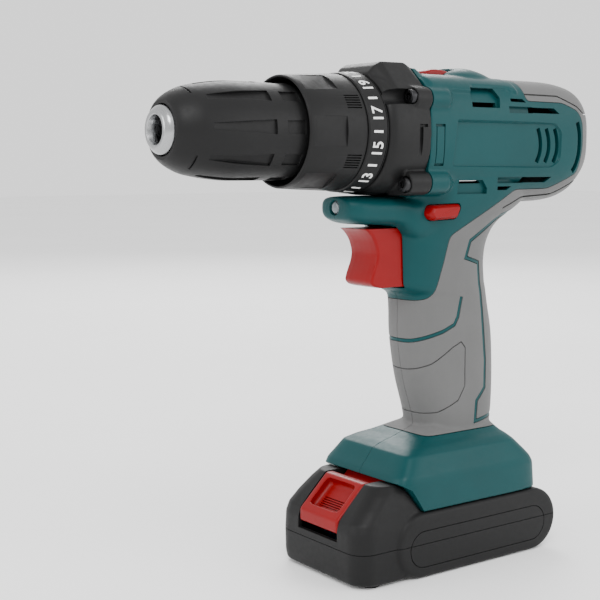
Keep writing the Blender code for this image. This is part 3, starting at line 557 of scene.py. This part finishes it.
def through_slots(side):
    """Air slots and openings that go right through the barrel's side wall."""
    low, high = sorted((side * 15.0, side * 34.0))
    outlines = [((34.4, 225.2), (51.2, 225.2), (51.2, 227.5), (34.4, 227.5)),
                ((60.4, 228.4), (71.2, 228.2), (69.0, 229.9), (60.4, 229.9)),
                ((73.8, 223.1), (95.2, 223.1), (91.4, 225.8), (73.8, 225.8)),
                ((28.8, 188.5), (43.2, 188.5), (42.2, 189.9), (28.8, 189.9)),
                ((70.0, 188.6), (87.0, 188.6), (91.2, 191.3), (72.0, 191.3)),
                ((53.6, 185.0), (60.4, 185.0), (63.6, 186.8), (53.6, 186.8)),
                ribbon(REAR_SLOT, 3.2, 4)]
    for k in range(LOUVRES):
        x = 80.6 + 6.1 * k
        outlines.append(ribbon(((x - 1.2, 198.6), (x + 0.9, 203.0), (x + 1.5, 207.2), (x + 0.9, 211.6),
                                (x - 0.6, 215.6)), 2.5, 4))
    return [prism("slot", outline, low, high) for outline in outlines]


def shallow_marks(side):
    """Pockets and grooves that follow the outer surface; each is (outline, depth)."""
    low, high = sorted((side * 12.0, side * 34.0))
    deep = [((33.4, 225.0), (51.9, 225.0), (53.0, 229.8), (50.4, 234.4), (33.4, 234.4)),
            ((58.4, 222.9), (75.0, 222.9), (75.0, 226.0), (58.4, 226.0)),
            ((27.8, 183.4), (46.3, 183.4), (46.3, 186.0), (43.0, 190.1), (28.4, 190.1)),
            ((53.2, 188.4), (71.0, 188.4), (72.2, 191.4), (53.2, 191.4))]
    fine = [((9.4, 215.4), (15.4, 215.4), (15.4, 216.6), (9.4, 216.6)),
            ((9.4, 197.0), (15.4, 197.0), (15.4, 198.2), (9.4, 198.2)),
            ribbon(((15.0, 216.0), (15.0, 197.6)), 0.5), ribbon(((10.0, 216.0), (10.0, 197.6)), 0.5)]
    cutters = []
    for outlines, depth in ((deep, 1.9), (fine, 1.1)):
        marks = [prism("mark", outline, low, high) for outline in outlines]
        cutters.append(skin_only(join(*marks), depth))
    return cutters


BUTTON_SIDE = rounded(((10.0, 174.0), (12.4, 171.0), (28.0, 171.6), (30.4, 176.4), (29.6, 178.8), (12.2, 178.2)),
                      1.6)


def shared_cutters():
    """Openings for the controls, lamp, screws and battery rails."""
    tools = [box("rail_neck", (-40, -RAIL_NECK, 20), (73, RAIL_NECK, 40)),
             box("rail_head", (-41, -RAIL_HEAD, 37.7), (73.4, RAIL_HEAD, RAIL_ROOF)),
             prism("foot_front", FOOT_FRONT_CUT, -45, 45),
             box("case_seat", (-60, -45, 182.75), (CASE_REAR + 0.3, 45, 270)),
             box("trigger_hole", (-20, -11, 138), (15.4, 11, 168)),
             prism("button_hole", offset(BUTTON_SIDE, -0.35), -40, 40),
             box("selector_window", (12.6, -9.4, 230), (38.8, 9.4, 250)),
             box("terminal_window", (57.2, -14.4, 44), (72.6, 14.4, 52)),
             box("keeper", (-8.0, -9.0, 44), (-1.0, 9.0, 48.6)),
             rod("lens_hole", (-40, 0, LAMP_Z), (-13, 0, LAMP_Z), 3.4),
             rod("lens_flare", (-29.2, 0, LAMP_Z), (-27.8, 0, LAMP_Z), 4.1, 32, 3.4)]
    tools += [rod("thread", (-4, y, z), (19.5, y, z), 2.2) for y, z, _ in CASE_SCREWS]
    for x, z, top in BODY_SCREWS:
        tools.append(rod("pilot", (x, -14, z), (x, 40, z), 1.9))
        tools.append(rod("seat", (x, top - 2.8, z), (x, 40, z), 3.6))
    return tools


def skin_only(tool, depth):
    """The part of a cutter that lies in the outer skin of the body."""
    return cut(tool, body_form("skin", depth))


def halve(obj, side):
    """Keep one side of the parting plane."""
    low, high = sorted((side * SEAM, side * 60.0))
    return common(obj, box("half", (-150, low, -10), (150, high, 270)))


def inlay_strips(name, width):
    strips = prism(name, ribbon(REAR_INLAY, width), -40, 40)
    return join(strips, prism(name + "_front", ribbon(FRONT_INLAY, width), -40, 40))


def offset(outline, distance):
    """Closed outline moved inwards; negative distances move it out."""
    count = len(outline)
    area = sum(outline[i][0] * outline[(i + 1) % count][1] - outline[(i + 1) % count][0] * outline[i][1]
               for i in range(count))
    sign = math.copysign(1.0, area)
    result = []
    for i in range(count):
        a, b, c = Vector(outline[i - 1]), Vector(outline[i]), Vector(outline[(i + 1) % count])
        n1 = Vector((-(b - a).y, (b - a).x)).normalized() * sign
        n2 = Vector((-(c - b).y, (c - b).x)).normalized() * sign
        middle = (n1 + n2).normalized()
        result.append(tuple(b + middle * (distance / max(0.35, middle.dot(n1)))))
    return result


def build_housing():
    outer = soften(add_body_details(body_form("outer")), 0.8, 5)
    grip = copy_of(outer, "grip")
    teal = outer
    region = rounded(GRIP_REGION, 3.0)
    cut(teal, prism("grip_region", region, -50, 50))
    join(teal, body_form("core", SKIN))
    inlay = common(inlay_strips("inlay", 1.5), body_form("inlay_top", 0.25))
    common(inlay, prism("inlay_region", offset(region, 0.4), -50, 50))
    join(teal, inlay)
    cut(teal, join(body_form("cavity", WALL), rod("front_bore", (0, 0, AXIS_Z), (30, 0, AXIS_Z), 23.6, 96)))
    cut(teal, *shared_cutters())
    for side in (-1, 1):
        cut(teal, side_recess(side))
        cut(teal, *through_slots(side))
        cut(teal, *shallow_marks(side))
    common(grip, prism("grip_area", offset(region, 0.3), -50, 50))
    cut(grip, body_form("grip_core", SKIN - 0.1))
    cut(grip, inlay_strips("inlay_way", 2.1))
    lines = [ribbon(GRIP_PANEL + GRIP_PANEL[:1], 0.6), ribbon(((1.2, 134.0), (2.1, 110.6), (4.9, 93.1),
                                                               (9.7, 72.6)), 0.6, 6),
             ribbon(((68.9, 232.3), (96.2, 232.1), (109.9, 227.4), (116.0, 223.7), (130.0, 223.4)), 0.8),
             ribbon(((60.0, 176.0), (74.0, 181.0), (97.0, 182.4), (113.0, 189.4), (130.0, 191.2)), 0.8)]
    for line in lines:
        cut(grip, skin_only(prism("line", line, -40, 40), 0.9))
    for x, z, _ in BODY_SCREWS:
        cut(grip, rod("grip_hole", (x, 5, z), (x, 40, z), 3.9))
    lip = common(copy_of(teal, "lip"), body_form("lip_zone", 2.3))
    common(lip, box("lip_strip", (-150, -0.6, -10), (150, 0.9, 270)))
    for side, word in ((-1, "left"), (1, "right")):
        shell = halve(copy_of(teal, f"housing_{word}"), side)
        if side < 0:
            join(shell, copy_of(lip, "tongue"))
        else:
            cut(shell, lip)
        place(shell, "drill", "teal_plastic", [f"{word}_housing_shell"])
        soft = halve(copy_of(grip, f"grip_{word}"), side)
        place(soft, "drill", "grey_grip", [f"{word}_grip_overmould"])
    bpy.data.objects.remove(teal, do_unlink=True)
    bpy.data.objects.remove(grip, do_unlink=True)


# ---------------------------------------------------------------- gear housing
CASE_ROWS = ((CASE_FRONT, 27.8, 184.7, 240.3), (-16.6, 29.0, 183.6, 241.4), (-13.4, 29.8, 183.0, 242.0),
             (-6.0, 30.0, 182.8, 242.2), (CASE_REAR, 29.4, 183.0, 241.6))
# rows of the hump: x, half width of the top, its height, and how far the foot of it spreads
CASE_HUMP = ((CASE_FRONT, 12.0, 240.0, 0.72), (-15.4, 13.0, 243.6, 0.86), (-11.6, 13.6, 245.5, 1.0),
             (2.0, 13.6, 245.6, 1.0), (CASE_REAR, 13.4, 243.4, 1.0))
HUMP_FOOT, HUMP_SHOULDER = 25.0, 232.4


def build_gear_housing():
    case = loft_x("gear_housing", CASE_ROWS, 0.0, 2.3, 96, 6)
    rings = []
    for x, half, top, spread in CASE_HUMP:
        foot = HUMP_FOOT * spread
        rings.append([(x, -foot, 224), (x, foot, 224), (x, foot, HUMP_SHOULDER), (x, half, top),
                      (x, -half, top), (x, -foot, HUMP_SHOULDER)])
    join(case, skin_rings("hump", rings))
    for y, z, seat in CASE_SCREWS:
        join(case, ear("boss", seat - 1.0, CASE_REAR - 0.05, y, z))
    soften(case, 0.6, 6)
    common(case, box("case_back", (-60, -60, 183.1), (CASE_REAR, 60, 260)))
    cut(case, rod("case_bore", (-16, 0, AXIS_Z), (20, 0, AXIS_Z), 20.3, 96))
    cut(case, rod("case_mouth", (-30, 0, AXIS_Z), (0, 0, AXIS_Z), 14.8, 96))
    for y, z, seat in CASE_SCREWS:
        cut(case, rod("screw_hole", (-12, y, z), (12, y, z), 2.2, 24))
        cut(case, rod("screw_seat", (-28, y, z), (seat + 0.1, y, z), 3.9, 40))
    for side in (-1, 1):
        low, high = sorted((side * 28.4, side * 34.0))
        outline = rounded(((-1.6, 197.6), (0.6, 197.6), (0.6, 216.4), (-1.6, 216.4)), 0.8)
        slot = prism("side_slot", outline, low, high)
        marks = [prism("side_mark", ((0.5, 215.0), (3.6, 215.0), (3.6, 216.4), (0.5, 216.4)), low, high),
                 prism("side_mark", ((0.5, 197.6), (3.6, 197.6), (3.6, 199.0), (0.5, 199.0)), low, high)]
        cut(case, slot, *marks)
    place(case, "drill", "black_plastic", ["gearbox_nose"])
    for i, (y, z, seat) in enumerate(CASE_SCREWS):
        build_case_screw(i + 1, y, z, seat)


def build_case_screw(number, y, z, seat):
    """Socket head screw with a domed rim, its axis along X."""
    head = [(18.0, 0.0), (18.0, 1.4), (17.4, 1.7), (seat - 0.1, 1.7), (seat - 0.1, 3.5), (seat - 2.5, 3.5),
            (seat - 3.0, 3.3), (seat - 3.2, 2.8), (seat - 3.2, 0.0)]
    screw = turned(f"case_screw_{number}", head, (y, z), 40, True)
    cut(screw, rod("socket", (seat - 6, y, z), (seat - 1.6, y, z), 1.9, 6))
    place(screw, "drill", "screw_steel", [f"nose_screw_{number}"])


def build_body_screws():
    for i, (x, z, top) in enumerate(BODY_SCREWS):
        shaft = rod(f"body_screw_{i + 1}", (x, -12.5, z), (x, top - 2.0, z), 1.6, 24)
        join(shaft, rod("head", (x, top - 2.4, z), (x, top - 0.6, z), 3.2),
             rod("crown", (x, top - 0.7, z), (x, top, z), 3.2, 32, 2.2))
        for turn in range(3):
            a = math.pi * turn / 3
            reach = Vector((math.cos(a), 0, math.sin(a))) * 1.7
            middle = Vector((x, 0, z))
            cut(shaft, prism("flute", ribbon([tuple((middle - reach).xz), tuple((middle + reach).xz)], 0.9),
                             top - 1.4, top + 1.0))
        place(shaft, "drill", "screw_steel", [f"housing_screw_{i + 1}"])


# ---------------------------------------------------------------- torque collar
PANELS, HATCH_LINES = 6, 6    # flat panels round the collar, and lines in each hatched patch between them
TORQUE_MARKS = 22             # a number and a tick by turns


def around(degrees):
    """Turn about the spindle's axis."""
    pivot = Matrix.Translation((0, 0, AXIS_Z * MM))
    return pivot @ Matrix.Rotation(math.radians(degrees), 4, "X") @ pivot.inverted()


def spun(obj, degrees):
    obj.data.transform(around(degrees))
    return obj


def wedge(name, low_x, high_x, width_front, width_rear, r_front, r_rear, top=34.0):
    """Cutter over the axis whose floor rises from r_front to r_rear and whose sides taper."""
    def ring(x, width, floor):
        return [(x, -width / 2, AXIS_Z + floor), (x, width / 2, AXIS_Z + floor),
                (x, width / 2, AXIS_Z + top), (x, -width / 2, AXIS_Z + top)]
    return skin_rings(name, [ring(low_x, width_front, r_front), ring(high_x, width_rear, r_rear)])


def build_collar():
    rear = COLLAR_REAR
    profile = [(COLLAR_FRONT, 24.9), (COLLAR_FRONT + 0.4, 25.5), (COLLAR_FRONT + 1.2, 25.8), (-50.0, 26.4),
               (rear - 1.0, 27.2), (rear, 26.9), (rear, 22.4), (-50.5, 22.4), (COLLAR_FRONT + 1.4, 24.1),
               (COLLAR_FRONT + 0.3, 24.5)]
    collar = turned("torque_grip", profile, steps=192)
    for k in range(PANELS):
        sector = wedge("sector", -58.4, -41.4, 13.4, 13.4, 25.1, 25.75)
        cut(collar, spun(sector, 60 * k + 30))
        for line in range(HATCH_LINES):
            groove = box("groove", (-40.2, -0.3, AXIS_Z + 26.1), (rear - 1.8, 0.3, AXIS_Z + 30))
            cut(collar, spun(groove, 60 * k + (line - 2.5) * 2.7))
    place(collar, "collar_unit", "black_plastic", ["torque_collar"])
    build_number_ring()


def build_number_ring():
    front, rear = SCALE_FRONT, SCALE_REAR
    ring = turned("number_ring", [(front, 27.2), (front + 0.5, 27.7), (rear - 0.8, 28.5), (rear - 0.2, 28.1),
                                  (rear, 27.6), (rear, 22.4), (front, 22.4)], steps=192)
    groove = [(rear - 1.4, 29.4), (rear - 1.0, 29.4), (rear - 1.0, 28.1), (rear - 1.4, 28.1)]
    cut(ring, turned("groove", groove, steps=192))
    place(ring, "collar_unit", "black_plastic", ["torque_scale_ring"])
    printed = []
    for k in range(TORQUE_MARKS):
        turn = 360 / TORQUE_MARKS * k + 8
        if k % 2:
            mark = box("tick", (front + 2.6, -0.55, AXIS_Z + 27.4), (rear - 3.8, 0.55, AXIS_Z + 28.55))
        else:
            mark = numeral(str(TORQUE_MARKS - 1 - k))
        printed.append(spun(mark, turn))
    for mark in printed:
        for vert in mark.data.vertices:
            wrap(vert)
    first = printed[0]
    for mark in printed[1:]:
        join(first, mark)
    first.name = "dial_numbers"
    place(first, "collar_unit", "black_plastic", look="print_white")


def wrap(vert):
    """Lay a printed mark on the ring's cone, 0.12 mm thick."""
    x, y, z = vert.co / MM
    radius = math.hypot(y, z - AXIS_Z)
    share = (x - SCALE_FRONT - 0.5) / (SCALE_REAR - SCALE_FRONT - 1.3)
    surface = 27.7 + 0.8 * share
    target = surface + (0.12 if radius > 28.0 else -0.25)
    scale = target / radius
    vert.co = Vector((x, y * scale, AXIS_Z + (z - AXIS_Z) * scale)) * MM


def numeral(text):
    """Digits above the axis that read from behind the drill."""
    curve = bpy.data.curves.new("numeral", "FONT")
    curve.body = text
    curve.align_x, curve.align_y = "CENTER", "CENTER"
    curve.size = 7.8 * MM
    curve.offset = 0.00010
    curve.extrude = 0.5 * MM
    curve.resolution_u = 3
    obj = bpy.data.objects.new("numeral", curve)
    bpy.context.scene.collection.objects.link(obj)
    bpy.context.view_layer.update()
    mesh = bpy.data.meshes.new_from_object(obj.evaluated_get(bpy.context.evaluated_depsgraph_get()))
    bpy.data.objects.remove(obj, do_unlink=True)
    bm = bmesh.new()
    bm.from_mesh(mesh)
    bmesh.ops.remove_doubles(bm, verts=bm.verts, dist=1e-6)
    bm.transform(Matrix.Scale(1 / MM, 4))
    middle = (SCALE_FRONT + SCALE_REAR) / 2
    stand = Matrix.Translation((middle, 0, AXIS_Z + 28.0)) @ Matrix.Rotation(math.pi / 2, 4, "Z")
    return from_bmesh("numeral", bm, stand)


# ---------------------------------------------------------------- chuck
FLUTES, ARC_MARKS = 9, 3
JAW_ANGLES, JAW_TILT = (90.0, 210.0, 330.0), 13.0


def build_sleeve():
    outer = [(SLEEVE_REAR, 21.0), (-58.4, 21.7), (-72.0, 21.9), (-86.0, 21.9), (-91.4, 21.8), (-96.5, 21.4),
             (-101.7, 20.8), (-106.7, 20.0), (-111.7, 18.9), (-116.2, 17.0), (-119.2, 15.2),
             (SLEEVE_FRONT + 0.5, 13.6)]
    profile = [tuple(p) for p in smooth_rows(outer, 5)]
    profile += [(SLEEVE_FRONT, 12.8), (SLEEVE_FRONT, 11.3), (SLEEVE_FRONT + 0.8, 11.1), (-118.0, 11.3),
                (-112.0, 12.9), (-100.0, 16.5), (-92.0, 18.9), (SLEEVE_REAR, 18.9)]
    sleeve = turned("chuck_grip", profile, steps=216)
    for k in range(FLUTES):
        turn = 360 / FLUTES * (k + 0.15)
        cut(sleeve, spun(wedge("flute", -107.5, -76.5, 2.6, 6.4, 19.6, 20.7), turn))
        cut(sleeve, spun(wedge("short_flute", -70.6, SLEEVE_REAR - 4, 5.6, 6.0, 20.7, 20.9), turn))
    for k in range(ARC_MARKS):
        cut(sleeve, spun(wedge("arc_mark", -113.4, -112.6, 9.0, 9.0, 17.4, 17.6), 120 * k + 20))
    place(sleeve, "chuck_sleeve_unit", "black_plastic", ["chuck_sleeve"])


def build_chuck_body():
    profile = [(-64.0, 18.0), (-92.0, 18.0), (-100.0, 16.2), (-112.0, 12.6), (-118.0, 10.9),
               (-122.6, 10.6), (-123.6, 9.9), (NOSE_X + 0.3, 8.7), (NOSE_X, 8.2), (NOSE_X, 6.9),
               (NOSE_X + 0.3, 6.5), (-123.2, 6.0), (-121.6, 5.5), (-86.0, 5.3), (-86.0, 6.5), (-64.0, 6.5)]
    body = turned("chuck_nose", profile, steps=160)
    ways = []
    for degrees in JAW_ANGLES:
        a, tilt = math.radians(degrees), math.radians(JAW_TILT)
        out = Vector((0.0, math.cos(a), math.sin(a)))
        back = Vector((math.cos(tilt), 0, 0)) + out * math.sin(tilt)
        start = Vector((NOSE_X + 1.0, 0, AXIS_Z)) + out * 1.7
        ways.append(rod("jaw_way", start + back * 2.0, start + back * 56.0, 2.9, 36))
    cut(body, *ways)
    place(body, "spindle_unit", "polished_steel", ["chuck_body"])


# ---------------------------------------------------------------- controls
TRIGGER_ROWS = ((138.7, -8.6), (139.2, -10.6), (140.0, -12.6), (141.8, -14.1), (144.2, -13.7), (147.4, -12.5),
                (151.0, -11.0), (155.4, -10.3), (160.0, -11.5), (163.0, -13.1),
                (165.6, -15.4), (167.3, -17.8))


def build_trigger():
    """Curved finger piece whose broad front is nearly flat from side to side."""
    rear, half = 7.8, 10.4
    rings = []
    for z, front in smooth_rows(TRIGGER_ROWS, 3):
        near = [(rear, half - 0.6), (rear - 0.8, half), (front + 1.0, half), (front, half - 0.5),
                (front - 0.35, half * 0.6), (front - 0.45, half * 0.2)]
        rings.append([(x, y, z) for x, y in near] + [(x, -y, z) for x, y in near[::-1]])
    trigger = soften(skin_rings("trigger_grip", rings), 0.4, 5)
    join(trigger, box("stem", (6.0, -4.0, 149.0), (17.0, 4.0, 157.0)))
    place(trigger, "trigger_unit", "red_plastic", ["trigger"])


def build_direction_button():
    outline, small = BUTTON_SIDE, offset(BUTTON_SIDE, 1.5)
    rows = []
    for y, shape in ((-25.4, small), (-24.2, offset(outline, 0.45)), (-23.0, outline), (23.0, outline),
                     (24.2, offset(outline, 0.45)), (25.4, small)):
        rows.append([(x, y, z) for x, z in shape])
    button = skin_rings("direction_rocker", rows)
    join(button, rod("pin", (20.0, 0, 166.6), (20.0, 0, 174.0), 1.6))
    place(button, "direction_button_body", "red_plastic", ["direction_button"])


def build_selector():
    low, high = edge("speed_selector", 0, 0), edge("speed_selector", 0, 1)
    top = edge("speed_selector", 2, 1) + 1.5
    slider = loft_x("speed_slider", ((low, 7.6, 237.4, top - 2.4), (low + 1.0, 8.7, 237.4, top - 1.2),
                                     (low + 4.0, 9.0, 237.4, top - 0.3), (low + 8.0, 9.0, 237.4, top),
                                     (high - 5.0, 9.0, 237.4, top - 0.5), (high - 1.0, 8.8, 237.4, top - 1.6),
                                     (high, 7.8, 237.4, top - 2.6)), 0.0, 6.0, 64, 4)
    for k in range(5):
        x = low + 5.0 + 2.1 * k
        cut(slider, box("rib_gap", (x, -7.4, top - 0.7), (x + 0.9, 7.4, top + 2)))
    join(slider, box("tab", (27.0, -3.0, 233.6), (31.0, 3.0, 239.0)))
    place(slider, "speed_selector_body", "red_plastic", ["speed_selector"])


def build_lamp():
    front = edge("lamp_lens", 0, 0)
    profile = [(-21.0, 0.0), (-21.0, 3.0), (front + 1.2, 3.0), (front + 0.5, 2.5),
               (front + 0.15, 1.6), (front, 0.0)]
    lens = turned("lamp_cover", profile, (0.0, LAMP_Z), 64, True)
    place(lens, "drill", "lamp_clear", ["lamp_lens"])


# ---------------------------------------------------------------- battery
FRONT_BLOCK = ((1.0, -35.6, 31.2), (2.2, -37.6, 32.3), (6.0, -38.3, 32.7), (BATTERY_SPLIT, -38.5, 32.8),
               (26.0, -38.3, 32.4), (30.4, -37.0, 31.6), (36.0, -31.8, 30.4), (42.0, -25.6, 28.4),
               (46.0, -21.6, 26.0))
FRONT_CORNER, FRONT_BACK = 9.5, 20.0   # corner radius of the front block, and x of its rear face
LATCH_HALF = edge("battery_latch", 1, 1)


def battery_form(name, inset):
    half = BATTERY_HALF - inset
    outline = racetrack(-16.0 + inset, BATTERY_REAR - inset, inset, BATTERY_DECK - inset)
    panel = prism(name, outline, -half, half)
    if inset == 0.0:
        shrink_on(panel, 2.2, 4, 50)
    rings = []
    corner, back = FRONT_CORNER, FRONT_BACK
    for z, front, wide in FRONT_BLOCK:
        z = min(max(z, inset), 46.0 - inset)
        x0, w = front + inset, wide - inset
        ring = [(back, -w, z), (back, w, z)]
        arc = [math.pi / 2 * i / 12 for i in range(13)]
        ring += [(x0 + corner - corner * math.sin(t), w - corner + corner * math.cos(t), z) for t in arc]
        ring += [(x0 + corner - corner * math.sin(t), corner - w - corner * math.cos(t), z)
                 for t in arc[::-1]]
        rings.append(ring)
    head = skin_rings(name + "_front", rings)
    slope = [(x - 0.4 - inset, z - 0.3 - inset) for x, z in FOOT_FRONT_CUT[1:5]]
    trim = [(60, 31.6 - inset), (slope[1][0], 31.6 - inset), *slope[2:], (slope[3][0], 60), (60, 60)]
    cut(head, prism("trim", trim, -50, 50))
    return join(panel, head)


def build_battery():
    form = battery_form("battery", 0.0)
    soften(form, 0.7, 4)
    for y in (-25.5, 25.5):
        join(form, rod("pad", (-26.0, y, 0), (-26.0, y, 6), 4.5, 48))
    for side in (-1, 1):
        low, high = sorted((side * (BATTERY_HALF - 0.6), side * (BATTERY_HALF + 4)))
        ring = prism("groove", racetrack(-8.4, 83.4, 5.4, 23.6), low, high)
        cut(ring, prism("groove_inner", racetrack(-8.0, 83.0, 5.8, 23.2), low - 2, high + 2))
        cut(form, ring)
    pocket = box("latch_pocket", (-60, -LATCH_HALF - 0.4, 20.4), (-1.2, LATCH_HALF + 0.4, 60))
    for word, low, high in (("lower", -5.0, BATTERY_SPLIT - 0.15), ("upper", BATTERY_SPLIT + 0.15, 60.0)):
        case = copy_of(form, f"battery_{word}")
        if word == "upper":
            join(case, box("rail_neck", (-9.0, -RAIL_NECK + 0.3, 30.0), (57.4, RAIL_NECK - 0.3, 45.9)),
                 box("rail_head", (-9.0, -RAIL_HEAD + 0.3, 38.0), (57.4, RAIL_HEAD - 0.3, 45.9)))
        cut(case, battery_form("cavity", 2.4))
        if word == "upper":
            tools = [box("rail_hollow", (2.0, -12.5, 20), (40.0, 12.5, 43.4))]
            tools += [box("blade_slot", (43.4, y - 1.8, 36.0), (60, y + 1.8, 50)) for y in (-8.2, 8.2)]
            cut(case, *tools)
            cut(case, pocket)
        common(case, box("case_half", (-60, -50, low), (110, 50, high)))
        place(case, "battery", "battery_black", [f"battery_{word}_case"])
    bpy.data.objects.remove(form, do_unlink=True)
    build_latch()


LATCH_SIDE = ((-17.5, 45.9), (-21.8, 45.9), (-37.0, 31.2), (-38.0, 30.2), (-38.0, 24.0), (-30.0, 24.0),
              (-8.6, 30.5), (-1.8, 30.5), (-1.8, 46.0), (-7.6, 46.0), (-12.6, 41.0), (-16.0, 41.0))


def build_latch():
    """Release button: a scooped slope with ribs for the finger and a catch behind."""
    latch = prism("release_button", LATCH_SIDE, -LATCH_HALF, LATCH_HALF)
    shrink_on(latch, 1.0, 3, 25)
    well = ((-25.2, 46.6), (-36.6, 35.6), (-32.6, 30.0), (-20.6, 41.0))
    cut(latch, shrink_on(prism("well", well, -11.2, 11.2), 2.2, 4, 25))
    soften(latch, 0.4, 5)
    slope = Vector((-11.4, -11.0)).normalized()
    for k in range(7):
        middle = Vector((-26.4, 34.9)) + slope * (1.25 * k)
        ends = [tuple(middle + Vector((0.5, -0.5))), tuple(middle + Vector((-0.5, 0.5)))]
        cut(latch, prism("rib", ribbon(ends, 0.5), -8.6, 8.6))
    cut(latch, rod("spring_seat", (-22.0, 0, 20.0), (-22.0, 0, 31.8), 4.2))
    place(latch, "battery_latch_body", "red_plastic", ["battery_latch"])


# ---------------------------------------------------------------- carried-over nodes
def dress_frame():
    """Every CAD node that stays in view takes its record's slot from the finished materials."""
    slots = {row["node"]: row["material_slot"] for row in frame["record"]["subparts"]}
    for name, node in frame["nodes"].items():
        finish = MATERIALS[slots[name]]
        if not node.material_slots:
            node.data.materials.append(finish)
        for holder in node.material_slots:
            holder.material = finish


# ---------------------------------------------------------------- stage
def stage_material():
    n = Nodes("studio_paper")
    n.link(n.tint(n.noise(3.0), (0.92, 0.92, 0.92), (0.95, 0.95, 0.95)), n.shader.inputs["Base Color"])
    set_sockets(n.shader, Roughness=0.9)
    return n.mat


def add_light(name, place_at, aim, size, power, colour=(1, 1, 1)):
    light = bpy.data.lights.new(name, "AREA")
    light.shape = "DISK"
    light.size = size
    light.energy = power
    light.color = colour
    obj = bpy.data.objects.new(name, light)
    bpy.context.scene.collection.objects.link(obj)
    obj.location = place_at
    obj.rotation_euler = (Vector(aim) - Vector(place_at)).to_track_quat("-Z", "Y").to_euler()
    return obj


def build_stage():
    reach = 6000
    floor = box("studio_floor", (-reach, -reach, -20), (reach, reach, -0.2))
    floor.data.materials.append(stage_material())
    target = (0.0, 0.0, 0.13)
    add_light("key", (-0.9, -1.1, 1.5), target, 1.0, 24)
    add_light("fill", (0.9, -1.3, 0.7), target, 1.2, 10)
    add_light("rim", (0.8, 1.2, 1.1), target, 0.9, 16)
    add_light("nose", (-1.4, 0.3, 0.6), target, 0.8, 7)
    world = bpy.data.worlds.new("studio")
    world.use_nodes = True
    world.node_tree.nodes["Background"].inputs["Color"].default_value = (1.0, 1.0, 1.0, 1.0)
    world.node_tree.nodes["Background"].inputs["Strength"].default_value = 1.4
    bpy.context.scene.world = world


def build_camera():
    """Camera to the front left of the drill, 6.5 degrees above the level."""
    camera = bpy.data.cameras.new("camera")
    camera.sensor_width = 36.0
    camera.lens = 73.4
    camera.clip_start = 0.01
    obj = bpy.data.objects.new("camera", camera)
    bpy.context.scene.collection.objects.link(obj)
    turn, down = math.radians(53.85), math.radians(6.5)
    ahead = Vector((math.cos(turn) * math.cos(down), math.sin(turn) * math.cos(down), -math.sin(down)))
    obj.location = Vector((-383.2, -458.0, 199.5)) * MM
    obj.rotation_euler = ahead.to_track_quat("-Z", "Y").to_euler()
    bpy.context.scene.camera = obj


dress_frame()
build_housing()
build_gear_housing()
build_body_screws()
build_collar()
build_sleeve()
build_chuck_body()
build_trigger()
build_direction_button()
build_selector()
build_lamp()
build_battery()
build_stage()
build_camera()
